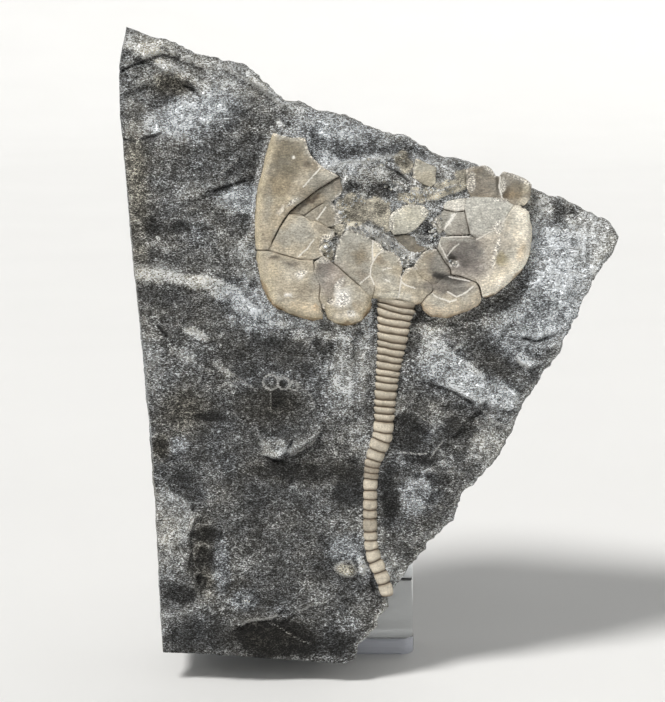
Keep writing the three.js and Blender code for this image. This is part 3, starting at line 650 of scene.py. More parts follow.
RIDGES = [  # pale lines: width, brightness, points; on the lips of ledges partly a painted highlight
    (0.22, 0.8, [(-33.5, 80.9), (-32.2, 81.5), (-30.3, 81.5)]),
    (0.3, 0.9, [(-20.5, 84), (-19.5, 83.3), (-17.5, 82.2), (-15, 80.8), (-12.2, 78.5)]),
    (0.22, 0.6, [(-20.8, 68.9), (-18.6, 70.8)]), (0.2, 0.5, [(-20.5, 74.6), (-18.6, 73.9)]),
    (0.25, 0.7, [(-33.9, 62.2), (-32.3, 62.1)]),
    (0.22, 0.6, [(-24.8, 57.9), (-23.6, 58.2), (-22.8, 58.1), (-21.8, 57.1), (-20.8, 55.9)]),
    (0.25, 0.7, [(-33.7, 56.4), (-31.5, 56.1), (-29.5, 55.8)]),
    (0.3, 0.9, [(-25.3, 46.9), (-24.2, 46.6), (-22.8, 45.6)]),
    (0.22, 0.5, [(-25.7, 43.2), (-24.1, 42.2), (-22.1, 40.9)]),
    (0.22, 0.6, [(-21.7, 42), (-20.2, 41.3), (-18.8, 40.4), (-17.2, 39.2), (-16, 38.5)]),
    (0.2, 0.6, [(-21.3, 38.2), (-21.1, 38.7), (-20.3, 39.4), (-18.4, 40)]),
    (0.2, 0.7, [(-12.9, 40.3), (-12.1, 40.5), (-11.3, 39.9), (-11.1, 39.2)]),
    (0.22, 0.6, [(-11.3, 39.4), (-10.6, 39.7), (-9.8, 38.9), (-8.3, 37.7), (-7.9, 36.2)]),
    (0.12, 0.5, [(-13.9, 38.4), (-13.9, 35.6)]), (0.25, 0.7, [(-15.6, 31.4), (-15.1, 30.5), (-14.8, 29.4)]),
    (0.22, 0.7, [(-11.6, 30.1), (-11, 29.5), (-10, 29.9), (-8, 31.1), (-7.6, 31.6)]),
    (0.2, 0.5, [(-30.7, 29.2), (-30.2, 29.5), (-29.3, 28.3)]),
    (0.2, 0.5, [(-28.5, 27.7), (-27.5, 28.2), (-25, 28.3)]),
    (0.16, 0.7, [(-24.4, 19.7), (-22.9, 19.6), (-22.3, 19.9)]),
    (0.16, 0.6, [(-24.4, 16.8), (-23.3, 16.9), (-22, 16.4)]), (0.14, 0.6, [(-24.3, 12.9), (-23, 13)]),
    (0.16, 0.6, [(-24.6, 12.9), (-24.4, 11.5), (-23.9, 10.8)]),
    (0.2, 0.5, [(-29.4, 7.6), (-26.7, 7.5), (-25.3, 8.3), (-23.5, 9.4), (-22.3, 10.5)]),
    (0.24, 1, [(-18, 5.5), (-17.4, 5.95), (-16.2, 6.25), (-14.7, 6.35), (-13.6, 6.6), (-13.1, 7)]),
    (0.12, 0.5, [(-14.2, 5.9), (-12.9, 5.3), (-10.2, 3.4), (-8.3, 2.6)]),
    (0.18, 0.7, [(-9.9, 7.4), (-8.6, 8.2), (-7.2, 8.5), (-6.5, 8.6), (-4.9, 9.8)]),
    (0.2, 0.8, [(-5, 13.6), (-3.9, 14.5), (-2.8, 14.6), (-2.1, 14), (-1.9, 13), (-2.6, 12.4), (-4.2, 12.8),
     (-5, 13.6)]), (0.14, 0.7, [(6.3, 35.3), (7.2, 34.6), (8.5, 33.9), (9.2, 33.9)]),
    (0.14, 0.8, [(3.8, 29.9), (7, 29.5), (8, 29.6)]), (0.14, 0.9, [(9.6, 30.5), (10.6, 28.9)]),
    (0.12, 0.8, [(8.5, 29), (9.6, 30.5), (10.2, 31.2)]), (0.18, 0.6, [(6.8, 22), (9.2, 22.2), (11.5, 21.8)]),
    (0.18, 0.6, [(4.6, 17.8), (5.8, 16.4), (7, 16)]), (0.2, 0.7, [(15.5, 36), (17.5, 34), (19.6, 33.3)]),
    (0.26, 0.9, [(20.5, 43), (21.2, 42.2), (22.3, 41.6)]),
    (0.26, 0.9, [(11.8, 44.1), (12.4, 44.7), (12.9, 44.8)]),
    (0.24, 0.9, [(2.3, 67.5), (4, 67.2), (5.5, 66.4), (7.5, 66.1), (9.5, 66.3), (12, 67.2)]),
    (0.24, 0.8, [(-5.5, 69.4), (-3.9, 70.2), (-2, 70.4), (0.2, 70.6), (2.2, 71.2), (4.4, 71.6)]),
    (0.2, 0.7, [(-0.6, 68.8), (0.8, 68.2), (2, 68.6), (3.4, 69.2)]),
    (0.3, 0.9, [(-2.6, 61.2), (-0.6, 60.6), (1.6, 59.9), (3, 59.3), (4.2, 58.2), (5.2, 57.5)]),
    (0.2, 0.9, [(6.4, 60), (7.6, 59.9), (9.2, 60.1)]),
]
CRACK_AND_SHADOW_LINES = [  # dark lines in the stone: open cracks, and painted shadow lines along the foot of ledges
    [(-35.2, 74), (-33.9, 73.9), (-33, 73.5)], [(-32, 73.9), (-30.4, 74.1), (-29.3, 74.6)],
    [(-35.3, 83.4), (-33.5, 84.1), (-31, 85), (-29.3, 85.6), (-28.2, 85.5), (-26.9, 85)],
    [(-26.1, 81.4), (-24.8, 80.7)], [(-22, 66.3), (-20.2, 67), (-17.6, 67.8)], [(-29.9, 47.6), (-28.5, 46)],
    [(-14.9, 29.2), (-13.8, 28.8), (-12.2, 28.5)], [(21.8, 45.8), (23.4, 45.3), (25, 45.9)],
    [(9.8, 38.9), (11.9, 38.1), (14.2, 36.7)], [(3.6, 69.2), (4.6, 68.5), (5.6, 67.6)],
    [(0.3, 13.1), (0.2, 11.8), (0.5, 10.2)], [(-1.9, 48.2), (-1.4, 47.6)],
]
LAYER = 0.32  # mm, the thinnest bed that parts cleanly
CHAOS = [  # the crushed ground between the two lobes
    (-4.6, 70.6), (-6.6, 69.4), (-5.4, 68), (-5.8, 64), (-5.6, 61), (-8, 58.2), (-5.6, 56), (-3, 59.6),
    (2.4, 56.6), (4.3, 53.4), (7.4, 56.2), (10.4, 58.2), (10.6, 61), (11.8, 63.6), (14.6, 64.8),
    (14.2, 69.4), (11.5, 69.9), (6, 72), (-1, 71.4),
]
REMNANTS = [  # scraps of plate still stuck to it
    (150, -2.4, 63.6, 2.1, 2.4, 12), (158, 0.9, 63.6, 2, 1.9, -30), (140, 4.8, 70.6, 1.2, 1.9, 20),
    (186, 7, 65.6, 3.4, 1.1, 6), (160, 11.2, 66.9, 2.4, 1, 14), (146, 12.9, 68.6, 0.9, 1.2),
    (168, 2.2, 61.8, 1.2, 1.1), (146, -4.6, 61, 1, 0.9), (150, -6.2, 58, 0.9, 1.5, 15),
]


def crushed_share(s, t):
    """1 on the crushed ground, 0 off it, and a smooth step across its edge."""
    return ease(inside_distance(s, t, CHAOS), -1.1, 0.9)


def parted(height, s, t):
    """Heights drawn towards flat layers with steep ragged steps between them: the whole number of
    layers, plus a smooth step over the middle third of the rest."""
    layers = (height + 0.16 * fractal(flat(s, t), 1.6, 66, 4)) / LAYER
    whole = np.floor(layers)
    return LAYER * (whole + ease(layers - whole, 0.32, 0.68))


def creases(points, cells, seed):
    """Sharp little ridges where a noise crosses zero, a sixth as high as the cells are wide."""
    return sum(cell / 6 * (0.35 - np.abs(value_noise(points, cell, seed + k)))
               for k, cell in enumerate(cells))


def relief(s, t):
    """Height of the bare stone: a slow unevenness, the swells, the ledges and the ridges. A ledge
    is a step, from 0 to its height in half a millimetre, that falls off behind as a bell."""
    height = 0.35 * np.sin(0.31 * s + 0.6) * np.cos(0.23 * t) + 0.2 * np.sin(0.55 * t - 0.4 * s)
    height += sum(0.7 * high * ellipse(s, t, *patch) for high, *patch in SWELLS)
    height = 0.4 * height + 0.6 * parted(height, s, t)
    height += 1.15 * crushed_share(s, t)
    unevenness = 0.25 * value_noise(flat(s, t), 0.9, 31)
    for high, reach, points in LEDGES:
        away, side = line_distance(s, t, points)
        behind = np.where(side > 0, np.exp(-np.square(away / reach)), 0)
        height += 1.1 * high * behind * ease(away + unevenness, 0, 0.4)
    for width, bright, points in RIDGES:
        height += 0.25 * bright * ease(line_distance(s, t, points)[0], 2 * width, 0)
    return height - 0.3 * ease(nearest(s, t, CRACK_AND_SHADOW_LINES), 0.35, 0)


# %% [markdown]
# The stone's colour is told by one number, its tone: nearly black where it is smooth and
# bituminous, nearly white where the cleaning tool frosted the grains. Soft ellipses are laid
# one over another like washes of paint. A second number leans it to olive or to blue.

# %% Tone of the block's face
TONES = [  # tone 0 to 255, then as in SWELLS
    (108, -33.6, 70, 1.6, 9, 3), (94, -25, 71.5, 6.5, 3.2, 10), (84, -21, 72.5, 3, 2), (98, -30, 68.5, 3, 3),
    (104, -24, 66, 4, 2), (104, -22, 61.5, 4, 2.2), (112, -30, 58.8, 5, 1.4, -3),
    (100, -22, 58.4, 5, 1.6, -8), (82, -28, 51.5, 6, 1.8, -8), (90, -22, 50, 4.5, 1.6, -10),
    (108, -31, 48, 2, 3), (92, -24, 47.6, 5, 1.5, -10), (118, -31, 42, 2, 4), (104, -26, 41.5, 4, 2.4, -35),
    (80, -14, 43.2, 7, 1.8, -5), (92, -8, 43.5, 3, 2), (100, -21, 38.8, 3, 1.5), (80, -20.8, 36.5, 2, 1.2),
    (86, -27, 36, 3, 3), (86, -22, 31.5, 3, 2.4), (96, -17.5, 31, 3, 2.5), (88, -16, 23, 5, 2.6),
    (98, -9, 21.5, 5, 3.2), (86, -16, 17.5, 5, 2.6), (92, -8.5, 17, 4, 2.4), (84, -12.5, 13, 4, 2),
    (76, -23, 4, 5, 2.2), (88, -14, 8.8, 3, 1.2), (92, -2.5, 10.5, 2.2, 1.8), (64, -6.5, 3.5, 3, 2),
    (112, -29, 81, 6, 3), (118, -33, 77, 2.4, 3), (104, -16, 76, 4, 3), (140, 20, 47, 5, 3.4),
    (140, 24, 51, 4, 4), (168, 29, 53, 3, 4), (100, 13, 24, 4, 4, 40), (100, 6, 15, 5, 5, 50),
    (118, 18, 31, 4, 6, 35), (106, 23, 41, 3, 4, 30), (104, 7, 71, 6, 2, -15), (98, 13, 69, 3, 2, -10),
    # pale, frosted
    (184, -31.5, 87, 4.8, 2, -15), (142, -31, 83.6, 4.5, 0.8, 8), (146, -24, 83.5, 5, 2.2, -15),
    (152, -21, 81, 4, 2, -30), (120, -16, 80.2, 3.5, 2.2, -35), (160, -27, 76.6, 6.5, 2.2, 8),
    (178, -23.5, 77.8, 3.2, 2.2, 20), (170, -30.3, 76, 1.8, 1.2), (152, -18.5, 65.3, 3.2, 2.2, 20),
    (154, -31, 55.6, 4, 0.9, -8), (156, -26, 54.6, 4, 0.9, -10), (154, -20.5, 53.2, 3.6, 1.1, -20),
    (164, -16.2, 50.6, 4.2, 2.2, -38), (158, -10, 47.2, 4.5, 1.4, -10), (158, -2.4, 45.8, 3, 1.6),
    (132, 9.8, 47.4, 4, 1, 5), (138, -17.2, 57, 1, 4.5), (148, -17, 63.5, 1, 2.5),
    (168, -24.2, 46.5, 1.4, 0.7, -30), (134, -14, 47.2, 4, 1.5, -15), (130, -8, 46.2, 4, 1.4, -5),
    (144, -3, 46.6, 3, 1.2, -10), (142, -1, 44, 1.5, 4), (142, -3, 40, 2.6, 4.8), (136, -4.5, 36.5, 2.4, 2.2),
    (132, -26.8, 30.8, 1.4, 1.4), (164, -13.5, 30.3, 2.2, 1.2, -5), (132, -9.5, 31.2, 2.4, 0.8, 25),
    (108, -5.5, 33, 3, 2, -30), (134, -1.2, 32, 1.6, 2.6), (112, -22, 25.5, 1.8, 3),
    (152, -28.8, 20.5, 2, 5.8), (148, -26.8, 20, 2, 3.8), (134, -28, 14.5, 2.4, 2.8), (120, -3.5, 19, 2.6, 3),
    (140, -3, 16, 2.2, 1.4), (146, -21, 15.8, 0.9, 1.8, 10), (150, -21.3, 12.5, 1, 1.4),
    (112, -18, 13.5, 2.4, 1.8), (116, -24, 7.4, 5, 0.8, 12), (128, -28.8, 5.6, 1, 1.8), (122, -19, 9, 2, 1.3),
    (168, -17.2, 8.8, 0.7, 0.4), (124, -8.5, 11.2, 1.6, 0.7), (106, -7, 9.5, 2, 0.8, 10),
    (114, -3, 6.2, 1.6, 1.4), (94, -1.5, 3.2, 1.6, 2.2), (100, 0.6, 7.2, 1.2, 2),
    (122, 3.2, 13.4, 1.2, 3.2, 20), (132, 6.6, 17.6, 0.8, 1.4, -30), (152, 6, 23.4, 1.8, 2.2),
    (164, 8.4, 25.2, 1.6, 0.9), (146, 9.6, 27.4, 2.6, 0.9, 10), (148, 16.3, 30.4, 2.6, 2.4, 35),
    (128, 9.4, 34.8, 1.2, 2.6, 15), (154, 20, 47.4, 2.4, 2.6), (160, 24.5, 47.5, 3, 2.6),
    (164, 21.8, 42.6, 1.8, 0.9), (188, 26.5, 56.2, 3.8, 4.2), (180, 24.2, 59.5, 1.6, 3.6),
    (170, 30.5, 58.8, 3.2, 2.6, -30), (156, 31.8, 61.8, 2, 1.2, -35), (180, 24.8, 65.6, 1.3, 0.7, -25),
    (166, -22.6, 85, 3.4, 0.8, -22), (176, -16, 82.1, 2.6, 0.8, -40), (206, -12.6, 79.1, 1.5, 0.7, -40),
    (196, 31, 62.9, 1.8, 0.5, -28), (148, -6, 76.3, 6, 1.3, -10), (154, -11, 78, 2.4, 1, -15),
    (134, 1.5, 74.5, 3, 1.1, -12), (154, -2.5, 70, 3, 0.7, 5), (150, 7.4, 65.6, 2.6, 0.9),
    (182, 0.8, 60.4, 3.6, 0.7, -22), (164, 4, 58.3, 2.8, 0.7, -35), (154, 14.6, 70.4, 1.6, 0.5, -20),
    (142, 4.8, 67.2, 1.8, 0.7, -10), (200, -12.6, 75.8, 0.8, 0.4), (200, -1.2, 14.3, 0.6, 1.6, 8),
    (84, -14, 39.6, 1, 1), (110, -10.6, 39.2, 0.7, 0.6), (100, -6.6, 28.6, 1.1, 0.9),
    (196, -11.2, 75, 2, 0.9, -8), (128, -17.5, 74.2, 2.4, 0.7, 5), (132, -25.5, 74.4, 3.4, 0.9, 8),
    (172, 24, 64.4, 2.2, 1.7, -30), (166, 30.2, 62, 2.6, 1.2, -30), (154, -29.5, 55.4, 3.6, 1.1, -5),
    (142, 4.4, 35.4, 0.9, 2.4, 8), (140, 0.6, 17.6, 2.2, 1.6), (146, 3.4, 13.8, 1.6, 3, 30),
    (120, -22.6, 9, 1.4, 1.2), (164, -28.2, 17.8, 1.8, 2.4), (112, -1.4, 8.6, 1.4, 1.6),
    (158, -20, 52, 3, 1, -25), (150, -3.4, 13.4, 1.4, 0.9, -10), (130, 3, 20.4, 1, 1.4),
    # dark and smooth
    (112, -2, 43.6, 1.4, 1.8), (74, -18.5, 61.4, 1.8, 1.8), (50, -4, 2.8, 2.6, 1.6),
    (96, -6.8, 72.2, 1.5, 1, -30), (78, 9.8, 26, 1.6, 1.4), (74, 10.2, 32, 1.4, 1.6),
    (112, 24.2, 50, 1.4, 1.6), (78, -18, 41, 3, 1.4), (96, -6, 45, 2.2, 0.8), (82, -28.5, 81.2, 3, 1.4),
    (52, -25.4, 81.1, 1.2, 0.8, -40), (92, -28, 79.2, 3, 0.5, 5), (70, -28.3, 86.5, 0.9, 0.4, -20),
    (74, -16.8, 72, 2, 2.6), (68, -18.2, 69.3, 2.4, 1.4, 10), (74, -31.5, 63.6, 2, 1.4),
    (68, -30.2, 61.3, 1.8, 1), (70, -26.8, 61.3, 1.8, 0.8), (70, -14.5, 36.4, 4.8, 2.4),
    (60, -22.5, 34.8, 2.6, 0.8), (60, -29.6, 30.4, 1.2, 1.9), (52, -9, 27.1, 7.4, 1.5, -3),
    (58, -3, 25.6, 2.2, 3.4), (68, -26.3, 26, 2.4, 1.3, -15), (54, -23.2, 18.3, 1.7, 1.3),
    (56, -23.2, 15.1, 1.2, 1.5), (52, -23.4, 11.8, 1, 1.3), (56, -26.8, 9.5, 2.9, 1.4),
    (70, -6.8, 13.3, 1.6, 1.6), (40, -13.5, 3.2, 4.8, 2.5, -5), (46, 0.4, 12, 0.4, 1.6, -10),
    (50, 2.8, 24, 1.3, 5), (54, 5.4, 32.4, 2.8, 2.8), (52, 7.4, 29, 1.8, 0.8), (62, 12.8, 33.2, 2.4, 1.8),
    (80, 17.3, 42, 3.8, 1.8, -20), (78, 14, 46, 3.2, 1.8, -10), (70, 7, 49, 1.6, 1.4),
    (70, 18.6, 50.2, 2.8, 1, 30), (74, 21.8, 53, 2.2, 1, 50), (76, 28, 64.2, 2.6, 0.8, -30),
    (100, -5, 72.6, 3.8, 1.6), (62, -2.4, 66.6, 1.3, 0.7), (54, 1.6, 66.6, 1.9, 1.1),
    (58, 4.8, 68.5, 0.9, 0.5, -40), (78, 5.2, 70.9, 1.2, 0.9), (84, 8.8, 60.4, 0.8, 1.3, 20),
    (60, -12, 39.4, 0.6, 0.5), (86, 23.2, 40, 1.2, 1), (36, -13, 3, 6.5, 2.8, -5), (66, -24, 3.6, 4.4, 1.8),
    (166, 23.4, 56, 1.3, 5), (164, 23.8, 62, 1.2, 2.4), (178, 31.5, 56.2, 2, 4, -32),
    (78, 12.8, 46.4, 2.8, 0.9, -38), (74, 17.2, 42.8, 3.4, 1.2, -38), (62, 13.4, 35.8, 3.6, 0.8, -16),
    (172, -5.5, 70.8, 2.4, 0.9, -25), (166, 0.5, 70.6, 3, 0.7, 8), (190, 27.6, 58, 3, 4),
    (172, -24, 77.6, 4.5, 2.2, 5), (152, -5, 75.2, 5, 1.2, -12), (166, 33.2, 59.6, 1.8, 1.4, -30),
    (172, 29.4, 50.6, 1.8, 2.6, -30), (156, 26.8, 46.6, 1.6, 2.2, -30), (162, -0.8, 48.6, 1.2, 2.4),
    (160, 8.6, 46.8, 0.8, 0.6),
    # the pale band that sweeps down to the theca, and other frosted ledges
    (164, -31.5, 55.2, 2.6, 1, -6), (166, -28, 54.6, 3, 1.1, -8), (164, -23.8, 53.7, 3, 1.3, -6),
    (166, -20.2, 52.6, 2.6, 1.4, -18), (172, -17.2, 50.7, 2.6, 1.7, -38), (176, -14, 48.9, 2.4, 1.7, -38),
    (138, -30.8, 44.6, 1.6, 3.2, 4), (146, -26.4, 43.4, 2, 0.8, -45), (186, -24, 46.4, 1.4, 0.7, -38),
    (158, -6.2, 57.8, 0.9, 1.4, 15), (138, -20.6, 41.4, 2, 0.6, -25), (132, -17.6, 47.8, 3, 0.9, -10),
    # dark and light patches below the theca
    (66, -11.8, 44.4, 3.4, 1.5, -8), (66, -6.4, 44.2, 1.8, 1, -35), (92, -1.6, 46.2, 1, 1),
    (56, -12.6, 37.2, 1.8, 2), (164, -4.4, 46.4, 2, 0.7), (156, -9.6, 47.2, 2.4, 0.7, -10),
    (164, -4.2, 39, 1.7, 1.3, -45), (150, -1, 41, 1.1, 3), (72, -8.6, 41.2, 1.6, 1),
]
LIGHT_BLOCK = [
    (6.6, 42.4), (7.6, 46.8), *LIGHT_HIGH[::-1], (20.8, 35.6), (19.6, 35.4), *LIGHT_LOW[::-1], (8.2, 40.5)]
LEANINGS = [  # towards blue above 0, olive below
    (0.8, -24, 77, 6, 3, 10), (1, -18, 65.5, 3, 2), (0.7, -17, 50, 4, 3, -35), (0.8, 26, 53, 5, 8),
    (1, -21, 14, 1.4, 4, 5), (0.8, -26.8, 30.8, 1.6, 1.4), (0.7, 21, 46, 4, 4), (0.6, 14, 40, 7, 4, -35),
    (0.7, 7, 24, 3, 3), (1, -17.5, 9, 2, 1.5), (0.7, -3, 16, 3, 2), (0.7, -5, 73, 8, 4, -10),
    (-0.8, -33, 66, 2, 12, 3), (-1, -28, 81.5, 3, 1.6), (-0.8, -14, 36.4, 5, 3), (-0.7, -26, 35, 4, 4),
    (-1, -29.6, 30.4, 1.6, 2), (-0.9, -23.3, 15, 2, 6), (-0.8, -13, 3.4, 6, 3), (-0.4, -9, 27, 8, 2),
    (-1.6, -3.4, 13.4, 1.5, 1, -10), (-0.5, 17, 42, 4, 2, -20), (-0.3, -31, 87, 5, 2, -15),
    (-0.4, 19, 66, 5, 3),
]
BASE_TONE, LIGHT_TONE, CRUSHED_TONE = 94, 162, 172
CRUSHED = REMNANTS + [  # the crushed ground's own patches
    (92, 2, 66.7, 2.6, 1.2, -6), (98, -2.2, 66.9, 1.1, 0.5), (176, -2.6, 69.9, 3, 0.6, 5),
    (176, 0.3, 68.4, 1.6, 0.35), (196, 4.4, 66.7, 1.1, 0.25, -38), (248, 0.2, 60.5, 3.8, 0.9, -24),
    (250, 3.7, 58.1, 2, 0.9, -44), (240, 4.8, 56.3, 1, 1.1), (226, 7.2, 57.5, 1.8, 0.7, 20),
    (76, 8.4, 60.6, 1, 1.9, 20), (160, 7.4, 59.2, 0.6, 0.5), (60, 5.3, 68.3, 0.9, 0.25, -45),
    (98, -4.2, 66.4, 0.6, 1), (130, -7, 57.9, 0.7, 0.8),
]


def stone_tone(s, t):
    """Tone from 0 to 255. The patches' edges wander, because their places are shaken by noise,
    and a mottle of noise is added at the end."""
    points = flat(s, t)
    ragged_s = s + 0.6 * fractal(points, 2.6, 41, 5) + 0.25 * fractal(points, 0.8, 42, 2)
    ragged_t = t + 0.6 * fractal(points, 2.6, 46, 5) + 0.25 * fractal(points, 0.8, 47, 2)
    tone = np.full(s.shape, float(BASE_TONE))
    for target, *patch in TONES:
        tone += (target - tone) * ease(ellipse(ragged_s, ragged_t, *patch), 0.08, 0.78)
    tone += (LIGHT_TONE - tone) * ease(inside_distance(ragged_s, ragged_t, LIGHT_BLOCK), -0.3, 0.5)
    tone *= 1 + 0.15 * ease(t + 0.4 * s, 22, 52)  # lighter towards the top: partly the stone frosted more by cleaning, partly painted light that falls off towards the foot
    tone += (CRUSHED_TONE - tone) * 0.8 * ease(inside_distance(ragged_s, ragged_t, CHAOS), -0.9, 0.4)
    for target, *patch in CRUSHED:
        tone += (target - tone) * np.minimum(1, 1.15 * ellipse(ragged_s, ragged_t, *patch))
    mottle = fractal(points, 3.2, 51, 3) * 0.12 + fractal(points, 1.1, 55, 3) * 0.07
    return tone * np.exp(mottle)


def stone_leaning(s, t):
    """How blue or olive the stone is, from 1 to -1."""
    lean = sum(blue * ellipse(s, t, *patch) for blue, *patch in LEANINGS)
    return np.clip(lean + 0.25 * fractal(flat(s, t), 4.0, 61, 3), -1, 1)


# %% [markdown]
# The plates and the stem lie in a bed in the stone, so that a crack between two plates opens
# on a dark floor. A point is covered if it is well inside one plate, or if two plates are
# close by, which is what a crack is.

# %% The bed under the fossil
BED = 1.35  # mm below the face
THECA_TOP = 1.6  # mm, the plates' usual height
COVER_REACH = 1.5  # mm
STEM_ENDS = (9.5, 51.2)  # t
STEM = [  # s, t, width, roundness: 1 is uncrushed
    (3.7, 51, 5.6, 0.45), (3.6, 49.8, 5.4, 0.47), (3.4, 49, 4.9, 0.5), (3.2, 46.3, 4.4, 0.55),
    (2.8, 43.3, 3.8, 0.6), (2.4, 40.2, 3.3, 0.68), (2.1, 36.9, 3.15, 0.75), (2, 34.5, 2.9, 0.8),
    (1.75, 32, 2.8, 0.85), (1.1, 30.4, 2.55, 0.9), (0.35, 28.2, 2.3, 0.9), (0.05, 25.5, 2.1, 0.9),
    (0, 20.5, 2.05, 0.9), (0.1, 17.3, 2, 0.9), (0.5, 15.1, 2.05, 0.9), (1.15, 13.6, 1.95, 0.9),
    (1.8, 12.1, 1.95, 0.9), (2.3, 10.4, 1.85, 0.9), (2.5, 9.5, 1.8, 0.9),
]
stem_s, stem_t, stem_wide, stem_round = np.array(STEM)[::-1].T


def stem_at(t):
    """The stem's middle line, half width and roundness at height t."""
    middle, wide, roundness = (np.interp(t, stem_t, known) for known in (stem_s, stem_wide, stem_round))
    return middle, wide / 2, roundness


def cover(s, t):
    """How deep each point lies under the nearest plate and the next nearest, in mm, negative
    outside, kept within COVER_REACH."""
    first, second = np.full((2,) + s.shape, -COVER_REACH)
    for outline in outlines.values():
        low, high = outline.min(axis=0) - COVER_REACH, outline.max(axis=0) + COVER_REACH
        near = (s > low[0]) & (s < high[0]) & (t > low[1]) & (t < high[1])
        depth = np.clip(inside_distance(s[near], t[near], outline[::3]), -COVER_REACH, COVER_REACH)
        second[near] = np.maximum(second[near], np.minimum(first[near], depth))
        first[near] = np.maximum(first[near], depth)
    return first, second


under, beside = cover(face_s, face_t)
middle, half, _ = stem_at(face_t)
in_stem = np.where((face_t > STEM_ENDS[0]) & (face_t < STEM_ENDS[1]), half - np.abs(face_s - middle), -5)
sunk = np.maximum.reduce([ease(under, 0.12, 0.5), ease(beside, -0.3, -0.12), ease(in_stem, 0.2, 0.5)])
print("share of the face under the fossil:", round(float((sunk > 0.5).mean()), 3))

# %% [markdown]
# The block is one closed shell. The face is a grid of quarter-millimetre squares. From its
# border, rows of points run back along the broken sides and in over the back to a single
# pole. The first two are as fine as the face, so that the silhouette is crisp; then every
# fourth point goes on, because the sides need less.

# %% The block's surface
EDGE_ROUND, BACK_ROUND = 0.4, 1.8  # how far the rims turn in, front and back
FINE_ROWS = (0.03, 0.075)  # shares of the way back
COARSE_ROWS = np.linspace(0.12, 0.96, 20)
BACK_ROWS = 1 - np.linspace(1, 0, 24, endpoint=False) ** 1.25
MERGE = 4  # fine points to a coarse one
RIM_LEVEL, STEM_LEVEL = 0.5, 0.2  # where the stone meets the fossil

tone = stone_tone(face_s, face_t)
face_points = flat(face_s, face_t)
chaos = crushed_share(face_s, face_t)
torn = [at + 0.35 * fractal(face_points, 0.9, seed, 4) for at, seed in ((face_s, 61), (face_t, 65))]
remnant = ease(np.max([ellipse(*torn, *patch) for _, *patch in REMNANTS], axis=0), 0.32, 0.5)
crust = chaos * ease(tone, 185, 235)  # crystals, raised and firm
rough = (0.35 + 0.65 * ease(tone, 50, 125) + 0.9 * chaos) * (1 - 0.7 * remnant) * (1 - 0.55 * crust)
height = relief(face_s, face_t)
level = np.where(under > in_stem, RIM_LEVEL + 0.85 * chaos, STEM_LEVEL)
height += (level - height) * 0.85 * ease(np.maximum(under, in_stem), -1.2, -0.1)
height += rough * (0.12 * fractal(face_points, 1.6, 71, 4)
                   + 0.8 * creases(face_points, (1.8, 1.1, 0.7), 76))
height += 0.22 * remnant + 0.35 * crust
joint = ease(beside, -0.8, -0.3)
height += (THECA_TOP - 0.5 - height) * joint
bare_height = height
rim = 2 * np.maximum(np.abs(across[..., 0] - 0.5), np.abs(up[..., 0] - 0.5))
height = height - 0.5 * rim ** 16
height += (-BED - height) * sunk * (1 - joint)

centre = face[ROWS // 2, COLUMNS // 2]
inward = centre - face
inward /= np.maximum(np.linalg.norm(inward, axis=-1, keepdims=True), 1e-9)
face_in = face + inward * (EDGE_ROUND * rim ** 8)[..., None]

# Round the border, anticlockwise: the foot, the right side, the top and the left side.
row, column = np.arange(ROWS), np.arange(COLUMNS)
border = np.concatenate([
    column[:-1], row[:-1] * COLUMNS + COLUMNS - 1,
    (ROWS - 1) * COLUMNS + column[:0:-1], row[:0:-1] * COLUMNS])
around = len(border)
outer, turned_in = face.reshape(-1, 2)[border], inward.reshape(-1, 2)[border]
border_height = height.ravel()[border]
border_up = np.broadcast_to(up[..., 0], height.shape).ravel()[border]
sawn = np.zeros(around)
sawn[-(ROWS - 1):] = 1  # the left side was cut with a saw
sawn = np.convolve(np.r_[sawn[-8:], sawn, sawn[:8]], np.ones(17) / 17, mode="valid")


def side_row(depth, picked):
    """One row round the block, depth from 0 at the face to 1 at the back: the outline, turned in
    at both rims, roughened outwards, with saw marks on the left."""
    at = outer[picked]
    turn = EDGE_ROUND * ease(depth, 0.075, 0) + BACK_ROUND * ease(depth, 0.88, 1)
    n = border_height[picked] * (1 - depth) - BLOCK_THICK * depth
    points = np.column_stack([at, n])
    broken = ease(depth, 0.03, 0.2) * (1 - sawn[picked])
    push = broken * (0.55 * fractal(points, 5.0, 81, 4) + 0.3 * np.abs(fractal(points, 1.8, 86, 3)) - 0.6)
    push += 0.05 * sawn[picked] * np.sin(5.2 * n + 0.4 * at[:, 1])
    at = at + turned_in[picked] * (turn - push)[:, None]
    lift = BACK_LIFT * depth * (1 - border_up[picked]) ** 2
    return np.column_stack([at[:, 0], at[:, 1] + lift, n])


every, some = np.arange(around), np.arange(0, around, MERGE)
fine = [side_row(depth, every) for depth in FINE_ROWS]
coarse = [side_row(depth, some) for depth in COARSE_ROWS]
back_rim = side_row(1.0, some)
back_middle = np.array([*centre, -BLOCK_THICK])
for share in BACK_ROWS:
    ring = back_rim + (back_middle - back_rim) * share
    waves = 0.35 * (1 + np.sin(0.4 * ring[:, 0]) * np.cos(0.3 * ring[:, 1]))
    grain = 0.22 * fractal(flat(ring[:, 0], ring[:, 1]), 3.0, 91, 3)
    ring[:, 2] = -BLOCK_THICK + np.minimum(waves, 5 * share + 0.2) + grain * ease(share, 0, 0.1)
    coarse.append(ring)

front = np.column_stack([face_in.reshape(-1, 2), height.ravel()])
shell = np.vstack([front, *fine, *coarse, back_middle + [0, 0, 0.3]])
print("block shell:", len(shell), "points")

# %% [markdown]
# The faces follow from the numbering: squares over the face, bands of squares between rows
# that match, and five triangles for each coarse step where four fine points meet one. The
# unwrapped map has the face above and the sides in a narrow strip below.

# %% The block's faces and its map
STRIP = 0.13  # share of the map for sides and back


def bands(rows):
    """Squares between matching rows of point numbers, facing out."""
    return [np.stack([upper, lower, np.roll(lower, -1), np.roll(upper, -1)], axis=-1)
            for upper, lower in zip(rows, rows[1:])]


